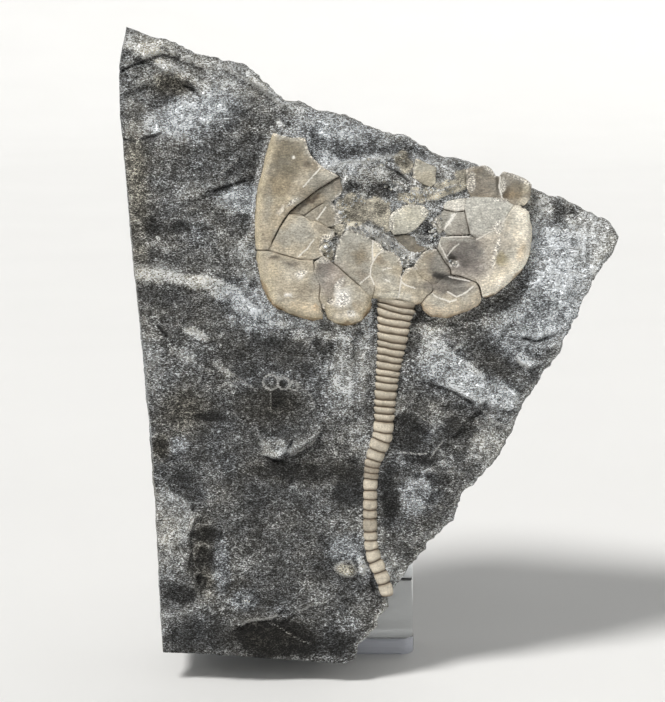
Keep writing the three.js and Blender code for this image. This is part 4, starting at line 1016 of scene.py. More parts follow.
counts = [len(points) for points in fine + coarse]
starts = len(front) + np.cumsum([0] + counts)  # where each row's numbers start
numbered = [start + np.arange(count) for start, count in zip(starts, counts)]
fine_rows, coarse_rows = [border] + numbered[:len(fine)], numbered[len(fine):]

i, j = column[None, :-1], row[:-1, None] * COLUMNS
grid = np.stack([i + j, i + j + 1, i + j + COLUMNS + 1, i + j + COLUMNS], axis=-1).reshape(-1, 4)
f0, f1, f2, f3 = (fine_rows[-1][k::MERGE] for k in range(MERGE))
f4, c0, c1 = np.roll(f0, -1), coarse_rows[0], np.roll(coarse_rows[0], -1)
joins = np.stack([(f0, c0, f1), (f1, c0, f2), (f2, c0, c1), (f2, c1, f3), (f3, c1, f4)])
joins = joins.transpose(0, 2, 1).reshape(-1, 3)
last = coarse_rows[-1]
fan = np.stack([np.roll(last, -1), last, np.full(len(last), starts[-1])], axis=-1)
block_faces = [grid, *bands(fine_rows), joins, *bands(coarse_rows), fan]

low, high = front[:, :2].min(axis=0), front[:, :2].max(axis=0)
block_map = np.zeros((len(shell), 2))
block_map[:len(front)] = (front[:, :2] - low) / (high - low) * (1, 0.99 - STRIP) + (0, STRIP + 0.01)
for r, numbers in enumerate(numbered, 1):
    block_map[numbers, 0] = np.arange(len(numbers)) / len(numbers)
    block_map[numbers, 1] = STRIP * (1 - r / (len(numbered) + 1))
order = np.argsort(border)


def corner_map(face_set, on_face=False):
    """Map places for the corners of a set of faces. Where a face crosses the seam of the strip,
    its corners at the start of the strip move to its end."""
    u, v = np.moveaxis(block_map[face_set], -1, 0)
    if not on_face:
        from_face = face_set < len(front)
        u[from_face] = order[np.searchsorted(border[order], face_set[from_face])] / around
        v[from_face] = STRIP
        crossing = (u.max(axis=1) - u.min(axis=1)) > 0.5
        u[crossing] = np.where(u[crossing] < 0.5, u[crossing] + 1, u[crossing])
    return np.stack([u, v], axis=-1).reshape(-1, 2)


corner_places = np.vstack([corner_map(grid, True), *(corner_map(part) for part in block_faces[1:])])

# %% [markdown]
# The finish reads numbers stored on the block's points: its tone, its leaning to blue or
# olive, how near a pale line or a dark line runs, and where scraps of plate lie. Dark lines
# are cracks, and painted shadow lines along the foot of ledges. Away from the face they come
# from noise.

# %% Numbers for the stone's finish
PALE_RINGS = [(-13.9, 39.6, 1.05), (-12.1, 39.4, 0.8), (-10.7, 39.1, 0.65)]  # small shells: s, t, radius
DARK_RINGS = [(-13.9, 39.6, 0.6), (-12.1, 39.4, 0.3)]
FROSTED, RIM_HIGHLIGHT_TONE, IN_CRACK, SIDES, SIDE_RIM_HIGHLIGHT = 160, 185, 78, 104, 170  # tones


def closeness(s, t, lines, width):
    """1 on a line, 0 at its width, and falling on evenly beyond, for a shader to cut sharply."""
    return np.clip(1 - nearest(s, t, lines) / width, -2, 1)


def ring_closeness(cs, ct, radius, width):
    """The same for a circle drawn on the face."""
    return 1 - np.abs(np.hypot(face_s - cs, face_t - ct) - radius) / width


def blurred(values, reach):
    """Each value replaced by the mean of those within reach steps, along both ways of the grid."""
    for axis in (0, 1):
        wide = np.pad(values, [(reach, reach) if k == axis else (0, 0) for k in (0, 1)], mode="edge")
        count = values.shape[axis]
        values = sum(np.take(wide, np.arange(count) + k, axis=axis) for k in range(2 * reach + 1))
        values = values / (2 * reach + 1)
    return values


pale_line = np.maximum.reduce(
    [bright * closeness(face_s, face_t, [points], width + 0.13) for width, bright, points in RIDGES]
    + [ring_closeness(*ring, 0.28) for ring in PALE_RINGS])
dark_line = np.maximum.reduce(
    [closeness(face_s, face_t, CRACK_AND_SHADOW_LINES, 0.4)] + [0.7 * ring_closeness(*ring, 0.3) for ring in DARK_RINGS])

# Raised places are painted lighter and hollows darker: painted highlight and painted shade that follow the
# relief.
painted_relief_shade = np.tanh((bare_height - blurred(bare_height, 3)) / 0.1)
# A painted highlight along the top and right rims of the face, where the broken crest catches the light.
width_here = np.linalg.norm(right - left, axis=-1)[:, None]
height_here = np.linalg.norm(top - foot, axis=-1)[None, :]
from_rim = np.minimum((1 - across[..., 0]) * width_here, (1 - up[..., 0]) * height_here)
painted_rim_highlight = ease(from_rim + 0.5 * fractal(face_points, 1.4, 107, 4), 0.9, 0.2)
frosted = ease(under, -1.5, -0.4) * ease(-0.75 * face_s - 0.3 * (face_t - 58), -3.0, 3.0)
tone += (FROSTED - tone) * 0.6 * frosted * (1 - chaos)
tone *= np.exp(0.2 * painted_relief_shade)
tone += (RIM_HIGHLIGHT_TONE - tone) * 0.75 * painted_rim_highlight
in_crack = np.maximum(sunk, ease(beside, -0.2, -0.08)) > 0.5
behind = shell[len(front):]
side_tone = SIDES * np.exp(0.3 * fractal(behind, 7.0, 95, 4) + 0.22 * fractal(behind, 1.8, 99, 3))
# Near the face the sides are painted lighter: a painted highlight along the block's front rim.
side_tone += (SIDE_RIM_HIGHLIGHT - side_tone) * 0.7 * ease(behind[:, 2], -2.6, -0.6)
side_leaning = np.clip(0.6 * fractal(behind, 9.0, 103, 3), -1, 1)
plain = np.zeros(len(behind))
tones = np.r_[np.where(in_crack, IN_CRACK, tone).ravel(), side_tone]
block_numbers = {
    "tone": (np.clip(tones, 12, 245) / 255) ** 2.2,
    "leaning": np.r_[np.where(in_crack, -1, stone_leaning(face_s, face_t)).ravel(), side_leaning],
    "pale_line": np.r_[pale_line.ravel(), plain - 2],
    "dark_line": np.r_[dark_line.ravel(), plain - 2],
    "remnant": np.r_[remnant.ravel(), plain],
}

# %% [markdown]
# Limestone is a felt of grains a few tenths of a millimetre across, each broken at its own
# angle. So noise of that size swings the brightness over three stops, and is also a bump.
# Pale lines are strings of bright grains, and on the lips of ledges partly a painted highlight.

# %% The stone's finish
OLIVE, NEUTRAL, BLUE = (1.06, 1.0, 0.84, 1), (1.0, 1.0, 0.97, 1), (0.95, 1.0, 1.05, 1)
SCRAP, CHALK = (1.08, 1.0, 0.82, 1), (1.0, 1.0, 0.98, 1)


def limestone():
    """Brightness is the tone times two to the power of the grain's swing."""
    f = Finish("limestone")
    tone, remnant = f.attribute("tone"), f.attribute("remnant")
    lying = (1.9, 1.0, 0.9)  # grains lie flat, along the bedding
    grain = f.noise(0.145, 1.0, 0.6, lying) - 0.5
    crystals = f.cells(0.135, lying) - 0.5
    sparkle = f.noise(0.105, 0.0, 0.5, lying) - 0.5
    clumps = f.noise(1.3) - 0.5
    flakes = f.veins(0.5) + f.veins(0.27)
    chipped = f.noise(2.6).smooth(0.44, 0.6)  # where thin beds have flaked off
    rims = (f.veins(1.5, 0.03) + f.veins(0.9, 0.04)) * chipped
    frost, crust = tone.smooth(0.13, 0.40), tone.smooth(0.78, 0.92)
    swing = grain * 6.0 + crystals * 2.4 + sparkle * 5.4 + clumps * 0.7 + flakes * 0.9
    swing = swing + rims * (1.6 - frost * 0.9) - chipped * 0.25
    swing = swing.smooth(-3.4, 4.6) * 6.0 - 2.33
    leaning = f.attribute("leaning") + swing.smooth(-1.0, 1.6) * 0.8 - 0.3
    swing = swing * (1.02 - frost * 0.24 - remnant * 0.4 - crust * 0.35)
    body = tone * (2.0 ** swing) * (remnant * 0.14 + frost * 0.17 + crust * 0.12 + 0.835)
    ragged = grain * 1.4
    # Pale lines are bright grains, and on the lips of ledges partly a painted highlight.
    pale = (f.attribute("pale_line") + ragged).smooth(0.25, 0.75)
    # Dark lines are cracks, and painted shadow lines along the foot of ledges.
    dark = (f.attribute("dark_line") + ragged * 0.6).smooth(0.3, 0.8)
    body = body * (1 - pale) + pale * (0.66 + grain * 1.2 + crystals * 0.4)
    tint = f.mix(leaning.smooth(-0.7, 0.2), OLIVE, NEUTRAL)
    tint = f.mix(leaning.smooth(0.1, 0.9), tint, BLUE)
    tint = f.mix(pale * 0.8, f.mix(remnant, tint, SCRAP), CHALK)
    f.set(Base_Color=f.mix(1.0, tint, f.grey(body * (1 - dark * 0.75)), "MULTIPLY"))
    f.set(Roughness=0.85 - frost * 0.15, Specular_IOR_Level=0.35)
    bumps = grain * 1.2 + sparkle * 0.4 + crystals * 0.2 + flakes * 0.4 + rims * 0.6
    return f.set(Normal=f.bump(bumps * (1 - remnant * 0.5) + clumps * 0.3, 0.45))


stone = limestone()
block = add_mesh("limestone_block", in_world(*shell.T), block_faces, block_numbers)
block_uv = block.data.uv_layers.new(name="OFBake")
block_uv.uv.foreach_set("vector", corner_places.astype(np.float32).ravel())
place(block, "limestone", stone, "matrix_slab")
print("limestone block:", len(block.data.polygons), "faces")

# %% [markdown]
# The theca is like a cushion that was sat on, swollen along its margin and sunk in the middle
# of each half. All plates take their height from one function of the place, so that they meet
# level at the seams; then each is lifted or sunk a little as a whole.

# %% Height of the theca
RIM_FOOT, RIM_WIDE = 0.2, 1.0  # mm
DENTS = [  # height, then as in SWELLS
    (-0.25, -12, 69.5, 2.2, 3.6), (0.2, -8.6, 67, 3.2, 1.3, 38), (0.2, -9.5, 60.4, 2.6, 1.8),
    (0.35, -3.7, 51.3, 1.2, 1.6, -20), (-0.35, -5.5, 50.9, 0.45, 0.5), (-0.4, -5.9, 55.2, 1.3, 1.2),
    (-0.4, -5.8, 58.8, 0.8, 0.7), (-0.18, -1.7, 57, 1.8, 2), (0.35, 2.4, 53, 1.8, 1.4),
    (0.25, 5.8, 52.6, 1.6, 1.2), (-0.5, 13.5, 57.2, 3, 2.4), (-0.6, 11.4, 56.5, 0.7, 0.5),
    (-0.35, 11, 53.6, 2.6, 0.7), (0.3, 5.3, 62.3, 2.2, 1.4), (0.45, 20.4, 66.6, 1.8, 1.4),
    (-0.2, 15.6, 67.6, 1.6, 1.6), (-0.5, 18, 68, 0.4, 2), (0.12, -9.4, 54.6, 1.8, 1.4),
    (-0.2, -2.7, 49.2, 0.5, 0.35), (0.12, -11.5, 51.7, 0.5, 0.5), (-0.12, 19.6, 57, 1.1, 1.3),
    (0.2, -4, 63, 0.6, 0.6),
]
THIN_MARGINS = (LEFT_MARGIN, LOBE_MARGIN, RIGHT_MARGIN)


def theca_height(s, t):
    """Height of the plates' outer surface: the top, its dents, a swelling 1.5 mm in from the margin,
    and at the margin itself a quarter circle down to the stone."""
    points = flat(s, t)
    top = THECA_TOP + sum(high * ellipse(s, t, *patch) for high, *patch in DENTS)
    margin = nearest(s, t, THIN_MARGINS)
    top += 0.28 * np.exp(-np.square((margin - 1.5) / 1.3))
    top += 0.07 * fractal(points, 2.2, 111, 3) + 0.035 * fractal(points, 0.8, 115, 3)
    share = np.clip(margin / RIM_WIDE, 0, 1)
    height = RIM_FOOT + (top - RIM_FOOT) * np.sqrt(1 - np.square(1 - share))
    over_stem = np.clip(line_distance(s, t, BASE_MARGIN)[0] / 0.6, 0, 1)
    height -= 0.55 * (1 - np.sqrt(1 - np.square(1 - over_stem)))
    for width, points in CRACKS:
        height -= 0.08 * ease(line_distance(s, t, points)[0], width / 2 + 0.14, width / 2)
    return height + 0.035 * ease(nearest(s, t, SEAMS), 0.2, 0.04)


# %% [markdown]
# The plates are painted as the stone is: a ground colour, then soft patches over it. The rims
# are creamy and carry a painted highlight, with painted shade at the foot of the lower margins;
# the middles are grey-brown, nearly purple where crushed, with chalky white spots.

# %% Colour of the theca
STAINS = [  # colour, then as in SWELLS
    ((132, 124, 107), -11.5, 70.4, 2.4, 3.2), ((152, 140, 118), -13.2, 66.8, 2.6, 1.6, 5),
    ((178, 167, 145), -12.6, 65, 2.4, 0.7, 8), ((160, 152, 136), -8.4, 67.6, 2.2, 1.4, -35),
    ((192, 184, 168), -5.8, 68.4, 1.3, 0.8, -30), ((180, 168, 146), -13.6, 61.8, 1.6, 2.2),
    ((224, 216, 202), -12.5, 63.7, 0.35, 0.9, -35), ((190, 183, 166), -11.5, 73.6, 2.2, 0.4, -10),
    ((112, 104, 92), -8.7, 70.1, 0.7, 0.5), (WHITE, -10.7, 71, 0.3, 0.3),
    # The narrow dark patch at -8.6, 64.7 along the horn's lower edge is partly the strip's brown and partly a
    # painted shadow cast by the horn.
    ((136, 126, 112), -4.6, 67, 0.8, 1), ((84, 74, 62), -8.6, 64.7, 2.6, 0.35, 33),
    ((150, 141, 124), -7.6, 66.6, 2, 0.6, 33), ((184, 176, 160), -9.5, 60.5, 2.2, 1.6),
    ((122, 114, 102), -5.8, 58.8, 0.8, 0.7), ((164, 153, 134), -12.6, 59.4, 1.2, 1),
    ((150, 142, 128), -6.6, 61, 1.4, 0.5, -20), ((190, 182, 166), -10.4, 54.8, 2, 1.4),
    ((118, 110, 98), -13.4, 56.9, 0.8, 0.45), ((132, 124, 112), -11, 56.1, 1.3, 0.45),
    ((222, 217, 208), -9.7, 54.6, 0.6, 0.5), (WHITE, -11.5, 51.7, 0.5, 0.45),
    ((186, 146, 106), -7.8, 50, 0.45, 0.4), ((208, 191, 163), -9.4, 50, 2.8, 0.9, -12),
    ((168, 158, 140), -9, 52.2, 1.6, 1), ((196, 184, 160), -13.8, 54, 0.9, 2.4, -10),
    ((156, 148, 140), -5.6, 54.2, 2.2, 2.4, -30), ((132, 123, 116), -6.1, 55.5, 1.4, 1.1),
    ((150, 142, 132), -5.5, 52.8, 0.8, 1.5), ((240, 237, 233), -3.7, 51.3, 1.3, 1.6, -20),
    ((172, 156, 132), -1.8, 50.3, 0.6, 0.8), ((236, 227, 211), -3, 48.6, 2.6, 0.7),
    ((160, 150, 138), -4.2, 54, 1, 1), ((120, 110, 98), -5.5, 50.9, 0.4, 0.45),
    ((226, 220, 210), -4.5, 53.2, 0.3, 0.7, -25), ((146, 135, 116), -1.7, 57, 1.2, 1.1),
    ((180, 174, 162), -2.4, 59.6, 1.6, 0.6), ((158, 149, 134), -1, 54.6, 0.9, 1),
    ((190, 181, 164), 2.2, 53.4, 2.2, 1.1), ((216, 207, 188), 2.4, 51.7, 2.2, 0.4),
    ((156, 142, 122), 1.5, 56.4, 0.7, 0.8), ((202, 193, 175), 5.4, 51.4, 1.6, 0.5, -10),
    ((160, 152, 137), 7, 53, 1.2, 0.6), ((178, 170, 154), 7.4, 55.9, 0.9, 0.8),
    ((132, 125, 115), 9, 56, 1.1, 1.5), ((80, 74, 70), 10.2, 54.5, 1.1, 0.55),
    ((80, 76, 72), 11.3, 53.7, 2.6, 0.5), ((130, 124, 116), 10.8, 52.7, 3.4, 1, -3),
    ((176, 158, 134), 8.6, 49.7, 1.2, 0.7), ((150, 144, 136), 13, 57, 4.3, 3.3),
    ((120, 114, 109), 13.9, 57.2, 3.5, 2.9, -10), ((92, 88, 84), 13.3, 56.4, 0.9, 0.7, 20),
    ((108, 103, 99), 15, 58.4, 1, 0.8), ((96, 91, 88), 12.4, 57.2, 0.8, 0.7),
    ((66, 62, 58), 11.4, 56.9, 0.7, 0.5), ((230, 227, 222), 11.8, 56, 0.5, 0.3),
    ((186, 178, 165), 17.6, 58.6, 2.2, 3.2, -12), ((160, 149, 120), 18.4, 56.8, 1.1, 1),
    ((214, 204, 184), 18.7, 54.6, 2.4, 1.1, 38), ((224, 215, 198), 21.2, 60.5, 0.9, 2.8),
    ((170, 166, 158), 12.2, 59.4, 2.2, 0.3), ((222, 220, 214), 11.4, 62.4, 0.3, 1.5, -38),
    ((176, 174, 166), 16, 62, 1.8, 1.8), ((138, 122, 98), 20.2, 66.2, 1.3, 1.2),
    ((202, 188, 160), 21.6, 66.7, 0.6, 1.2), ((134, 127, 116), 15.3, 67, 1.6, 1.3),
    ((96, 84, 68), 18.9, 66, 0.6, 1), ((170, 165, 152), 4, 61.2, 1, 0.6),
    ((200, 193, 172), 5.4, 62.3, 2.6, 1.5, 10), ((124, 118, 110), 10.6, 52.8, 3.4, 0.8, -3),
    ((96, 90, 85), 11.6, 54, 1.8, 0.5, -10), ((54, 50, 47), 9.6, 54.3, 1, 0.5, -10),
    ((226, 216, 200), 18.6, 53.4, 2, 0.8, 38), ((208, 190, 164), 21.3, 57.4, 0.8, 1.6),
]
RIM_LEFT, RIM_RIGHT, RIM_LOW = (192, 180, 154), (248, 242, 226), (218, 204, 182)
LOW_MARGIN_SHADE, WALL_BROWN = (134, 110, 82), (96, 82, 66)
RAGGED = [  # broken edges, overgrown with crystals
    [(-13.4, 74.3), *horn[1:6]],
    [(-3.9, 66), (-5.3, 64.6), (-4, 62.6), (-4.9, 61.3), (-5.4, 60), (-6.9, 58.4), (-6.4, 57.1)],
    [(-5, 57), (-4.4, 59.6), (-3, 61.1), (0.4, 59.5), (2, 58.1), (3.6, 57.7), (4.4, 56)],
    [(4.4, 54.6), (5.9, 55.9), (7.4, 57.7), (9.2, 58.3)],
    [(13.4, 66.4), (13.4, 69.4), (16, 69.9), (17.5, 68.4), (18.6, 69), (22.4, 67.3)],
    [(6.2, 70.9), (5.9, 68.2)], [(2.5, 61), (2.6, 62.6), (4.6, 64.2), (7.4, 64.3)],
]
CRUSTS = [  # crystals, placed as in SWELLS
    (-9.6, 54.8, 1.2, 0.5, 10), (-6.2, 59.4, 0.9, 0.9), (-6.4, 56.7, 1.3, 0.6), (-4.3, 53.3, 0.5, 1.3, -35),
    (-3.7, 51.2, 1, 1.3, -20), (-5.6, 50.9, 0.6, 0.6), (-6.6, 49.7, 0.4, 1), (8.9, 62, 0.6, 0.9),
    (17.9, 61.2, 0.7, 1.1), (17.5, 57.6, 0.4, 2.8, -14), (18.3, 65, 1.4, 0.4, -8),
    (11.7, 56.2, 0.8, 0.5, -30), (-4.4, 62.6, 0.6, 1.4), (14.2, 67.6, 0.6, 1.8), (18.5, 67.2, 0.5, 1.3),
    (6, 55.7, 0.9, 0.35, -30), (4, 57.4, 1.2, 0.5, -35), (1.6, 58.9, 1.6, 0.4, -25), (-3.6, 60.9, 0.8, 0.4),
    (-2.6, 49.2, 0.6, 0.5), (-10.8, 64.7, 1.2, 0.3, 35), (7.6, 63.4, 0.7, 0.9), (3, 61.8, 0.5, 1.2),
]
GRITTY = [(17, 62.6, 2.8, 2.4), (5.4, 62.4, 2.6, 1.8, 8), (16.4, 56, 2, 3, -20)]


def linear(colours):
    """Screen colours, 0 to 255, as light."""
    return (np.asarray(colours) / 255) ** 2.2


def theca_colour(s, t, ground):
    """The ground colour, then the stains, then the pale rim, partly the calcite's cream and partly a
    painted highlight, painted shade at the foot of the lower margins, a greyness in places and a
    slight mottle."""
    points = flat(s, t)
    ragged = [at + 0.28 * fractal(points, 0.9, seed) for at, seed in ((s, 121), (t, 126))]
    paint = np.broadcast_to(np.array(ground, float), s.shape + (3,))

    def washed(target, share):
        """The paint moved towards a target by a share."""
        return paint + (np.asarray(target) - paint) * share[..., None]

    for stain, *patch in STAINS:
        paint = washed(stain, 0.92 * ellipse(*ragged, *patch))
    margin = nearest(s, t, THIN_MARGINS) + 0.35 * fractal(points, 1.6, 131, 3)
    # The rim band is the calcite's cream brightened by a painted highlight, most on the right, whose rim
    # faces away from the main light.
    right_half, low_right = (s > 8)[..., None], ((s > 6) & (s < 15.4) & (t < 54))[..., None]
    rim_colour = np.where(low_right, RIM_LOW, np.where(right_half, RIM_RIGHT, RIM_LEFT))
    paint = washed(rim_colour, 0.8 * ease(margin / np.where(s > 8, 2.2, 1.5), 1.0, 0.1))
    # Painted shade along the lower margins, where the rim turns down away from the light.
    paint = washed(LOW_MARGIN_SHADE, 0.5 * ease(margin, 0.4, 0.05) * (t < 55.5))
    grey = paint.mean(axis=-1, keepdims=True) * (0.97, 0.97, 0.93)
    paint = washed(grey, 0.5 * ease(fractal(points, 2.4, 143, 4), -0.4, 0.9) * ease(margin, 0.2, 2.0))
    mottle = 1 + 0.06 * fractal(points, 1.5, 135, 4) + 0.02 * fractal(points, 0.4, 139, 2)
    return linear(np.clip(paint * mottle[..., None], 0, 250))


# %% [markdown]
# A plate is a fan of rings. From a point that sees its whole outline, straight spokes run to
# the outline, and the rings cut them at even shares. The rim then drops as a wall to the bed.

# %% Plates
PLATE_FOOT = 1.2  # mm below the face
WALL_ROWS, FEWEST_RINGS, TRIALS = 4, 8, 60
NO_GAP = 0.004  # half the width of a healed seam


def seeing_point(outline):
    """Of a grid of trials, the place furthest inside of every edge: it sees the whole outline."""
    low, high = outline.min(axis=0), outline.max(axis=0)
    trial = np.stack(np.meshgrid(*np.linspace(low, high, TRIALS).T), axis=-1).reshape(-1, 1, 2)
    start, way = outline, np.roll(outline, -3, axis=0) - outline
    way = way / np.linalg.norm(way, axis=1, keepdims=True)
    depth = way[:, 0] * (trial[..., 1] - start[:, 1]) - way[:, 1] * (trial[..., 0] - start[:, 0])
    best = depth.min(axis=1)
    return trial[best.argmax(), 0], best.max()


def drawn_in(outline):
    """The outline moved inwards: hardly at all at a seam, by half the crack's width at a crack."""
    s, t = outline.T
    gap = np.full(len(outline), NO_GAP)
    for width, points in CRACKS:
        gap = np.maximum(gap, 0.3 * width * ease(line_distance(s, t, points)[0], 0.5, 0.2))
    way = np.roll(outline, -3, axis=0) - np.roll(outline, 3, axis=0)
    way /= np.linalg.norm(way, axis=1, keepdims=True)
    return outline + gap[:, None] * np.column_stack([-way[:, 1], way[:, 0]])


def plate(name):
    """Spokes and rings over the top, a wall, and a closed underside."""
    ground, lift, kind, _ = PLATES[name]
    outline = drawn_in(outlines[name])
    middle, clear = seeing_point(outline)
    spokes = outline - middle
    rings = max(FEWEST_RINGS, int(np.linalg.norm(spokes, axis=1).mean() / STEP))
    share = (np.arange(rings) + 1) / rings
    top = middle + share[:, None, None] * spokes
    s, t = top[..., 0], top[..., 1]
    own = inside_distance(s, t, outline[::2])
    n = theca_height(s, t) + lift - 0.03 * ease(own, 0.10, 0)
    walls = np.linspace(0, 1, WALL_ROWS + 1)[1:, None] * (-PLATE_FOOT - n[-1]) + n[-1]
    s, t = (np.vstack([rows, np.repeat(rows[-1:], WALL_ROWS, axis=0)]) for rows in (s, t))
    paint = theca_colour(s, t, ground)
    paint[rings:] = linear(WALL_BROWN)
    points = ringed(np.stack([s, t, np.vstack([n, walls])], axis=-1))
    at = points[:, 0], points[:, 1]
    numbers = {
        "paint": ringed(paint),
        "seam": closeness(*at, SEAMS, 0.13),
        "crack": closeness(*at, [line for _, line in CRACKS], 0.18),
        "crust": np.maximum.reduce([
            closeness(*at, RAGGED, 0.7), *(ellipse(*at, *patch) for patch in CRUSTS),
            *(0.36 * ellipse(*at, *patch) for patch in GRITTY)]),
    }
    faces = ring_faces(len(s), len(outline))
    piece = add_mesh(f"calcite_{name}", in_world(*points.T), faces, numbers)
    print(f"{piece.name}: {len(piece.data.polygons)} faces, middle {clear:.2f} mm inside")
    place(piece, f"calcite_{kind}", calcite, f"plate_{name}")


# %% [markdown]
# Calcite that was once living plate is a little waxy: soft sheen, fine pits, faint clouding.
# The seams are white and stand a hair proud. Beside an open crack the plate is stained brown.

# %% The plates' finish
def calcite_finish():
    """The painted colour, clouded and pitted, with white seams and brown cracks."""
    f = Finish("plate_calcite")
    clouds = f.noise(1.0, 4.0, 0.6) - 0.5
    grain = f.noise(0.17, 1.0, 0.6, (1.6, 1.0, 1.0)) - 0.5
    pits = f.noise(0.34, 1.0).smooth(0.34, 0.22)
    crust = (f.attribute("crust") + clouds * 1.2).smooth(0.25, 0.9)
    crystals = f.cells(0.16) - 0.5
    streaks = f.noise(0.22, 1.0, 0.5, (4.0, 1.0, 1.0)) - 0.5
    shade = clouds * 0.8 + grain * 2.2 + streaks * 1.2 + crust * (crystals * 1.4 + grain * 3.0)
    paint = f.mix(crust * 0.45, f.attribute("paint", "Color"), colour(218, 214, 206))
    body = f.mix(1.0, paint, f.grey(2.0 ** shade), "MULTIPLY")
    body = f.mix(pits * 0.35, body, colour(110, 98, 82))
    near_crack = (f.attribute("crack") + grain * 0.8).smooth(0.1, 0.9)
    body = f.mix(near_crack * 0.5, body, colour(88, 74, 60))
    near_seam = (f.attribute("seam") + grain * 1.6).smooth(-0.1, 0.5)
    body = f.mix(near_seam * 0.75, body, colour(238, 234, 226))
    f.set(Base_Color=body, Roughness=0.52 + grain * 0.5, Specular_IOR_Level=0.4)
    rise = grain * 0.5 + streaks * 0.4 + clouds * 0.5 - pits * 0.4
    rise = rise + crust * (grain * 1.5 + crystals * 0.3)
    return f.set(Normal=f.bump(rise, 0.12, 0.8))


calcite = calcite_finish()
for name in PLATES:
    plate(name)

# %% [markdown]
# The stem is a stack of little rings near the theca and of barrels further down. A ring
# starts with a sharp flange, then slopes in to a groove; a barrel bulges in the middle. Each
# was crushed to an oval with squared shoulders.

# %% Ossicles of the stem
RING_JOINTS = [
    51.4, 50.3, 49.5, 48.5, 47.5, 46.4, 45.2, 44.3, 43.3, 42.4, 41.35, 40.4, 39.5, 38.45, 37.2,
    36.2, 35.2, 34.2]
BARREL_JOINTS = [
    34.2, 32.6, 31.55, 30.1, 28.7, 27.7, 26.9, 26.1, 24.5, 23.2, 21.8, 20.6, 18.7, 17.5, 16.2,
    14.6, 13.1, 11.5, 9.7]
AROUND, DOWN_STEPS = 96, 26
STEM_FOOT = 1.2  # mm below the face
END_GAP = 0.01  # mm
turn = np.linspace(0, 2 * np.pi, AROUND, endpoint=False)
down = np.linspace(0, 1, DOWN_STEPS)


def ring_groove(u):
    """How far a ring's surface lies in from its flange, as a share: a quick rise out of the groove
    above, then a long slope into the groove below, with one faint extra ridge."""
    ridge = 0.16 * np.exp(-np.square((u - 0.72) / 0.09))
    return 1 - ease(u, 0, 0.2) + 0.85 * ease(u, 0.30, 1.0) - ridge


def barrel_groove(u):
    """A barrel's surface: level in the middle, rounding in at both ends."""
    return np.abs(2 * u - 1) ** 3.4


def squared(wave, power):
    """A sine or cosine made squarer: power 2 leaves it, more gives it shoulders."""
    return np.sign(wave) * np.abs(wave) ** (2 / power)


def ossicle(name, upper, lower, groove, deep, power, sag, seed):
    """Rows down the piece, each an oval. Its width and place follow the stem's stations, its ends
    tilt with the stem, sag in the middle and waver, and it shrinks into the grooves."""
    level = (upper - down * (upper - lower - END_GAP))[:, None]
    s_mid, half, flatness = stem_at(level)
    reach = 0.8  # mm up and down, to read the stem's tilt
    slope = -(stem_at(level + reach)[0] - stem_at(level - reach)[0]) / (2 * reach)
    slope = slope - 0.09 * np.clip((level - 34) / 14, 0, 1)
    drawn_back = deep * groove(down)[:, None] + 0.05 * ease(np.abs(2 * down - 1), 0.9, 1.02)[:, None]
    x = (half - drawn_back) * squared(np.sin(turn), power)
    sagging = sag * half * (1 - np.square(x / half))
    waver = 0.06 * fractal(flat(s_mid + x, level), 1.1, 201, 3)
    t = level + slope * x - sagging + waver
    axis = np.maximum(half * flatness - STEM_FOOT, -0.1)
    n = axis + (half * flatness - drawn_back) * squared(np.cos(turn), power)
    bumps = 0.06 * fractal(np.stack([s_mid + x, t, n], axis=-1), 0.8, 205, 3)
    points = ringed(np.stack([s_mid + x, t, n + bumps], axis=-1))
    brown = ease(np.abs(level - 27.3), 1.6, 0.6) + 0.45 * ease(np.abs(level - 21.5), 5.0, 2.0)
    own_tone = value_noise([[seed, 0, 0]], 0.7, 207)[0]
    numbers = {
        "groove": ringed(np.broadcast_to(groove(down)[:, None], x.shape)),
        "brown": ringed(np.broadcast_to(brown, x.shape)),
        "own_tone": np.full(len(points), own_tone)}
    return add_mesh(name, in_world(*points.T), ring_faces(DOWN_STEPS, AROUND), numbers)


def stem_finish():
    """Cream on the flanges, brown in the grooves, each piece a little lighter or darker; on a ring, painted
    shade darkens the long slope below the lit flange.
    """
    f = Finish("stem_calcite")
    grain = f.noise(0.22, 2.0, 0.6) - 0.5
    clouds = f.noise(0.8) - 0.5
    groove = f.attribute("groove") + clouds * 0.35 + grain * 0.3
    # The groove number darkens each ring down its lower slope: painted shade below the flange, over the brown
    # of the grooves.
    body = f.mix(groove.smooth(0.0, 0.5), colour(200, 191, 174), colour(156, 145, 128))
    body = f.mix(groove.smooth(0.45, 1.0), body, colour(92, 80, 66))
    body = f.mix(f.attribute("brown") * 0.65, body, colour(124, 112, 98))
    shade = 2.0 ** (f.attribute("own_tone") * 0.25 + clouds * 1.2 + grain * 1.6)
    f.set(Base_Color=f.mix(1.0, body, f.grey(shade), "MULTIPLY"))
    f.set(Roughness=0.5 + grain * 0.4, Specular_IOR_Level=0.4)
    return f.set(Normal=f.bump(grain * 0.7 + clouds * 0.4, 0.09, 0.8))


stem_calcite = stem_finish()
KINDS = [  # groove, its depth, squareness, sag, first seed
    ("ring_of_stem", "stem_ring", RING_JOINTS, (ring_groove, 0.26, 2.8, 0.05), 0),
    ("barrel_of_stem", "columnal", BARREL_JOINTS, (barrel_groove, 0.17, 2.3, 0.10), 40)]
for name, node, joints, shape, seed in KINDS:
    for count, (upper, lower) in enumerate(zip(joints, joints[1:]), 1):
        piece = ossicle(f"{name}_{count:02d}", upper, lower, *shape, seed + count)
        place(piece, "calcite_cream", stem_calcite, f"{node}_{count:02d}")
    print(name, "pieces:", len(joints) - 1)

# %% [markdown]
# Along the broken upper edge of the theca the stone is full of loose calcite grains: little
# faceted balls, squashed and turned at random, all in one mesh.

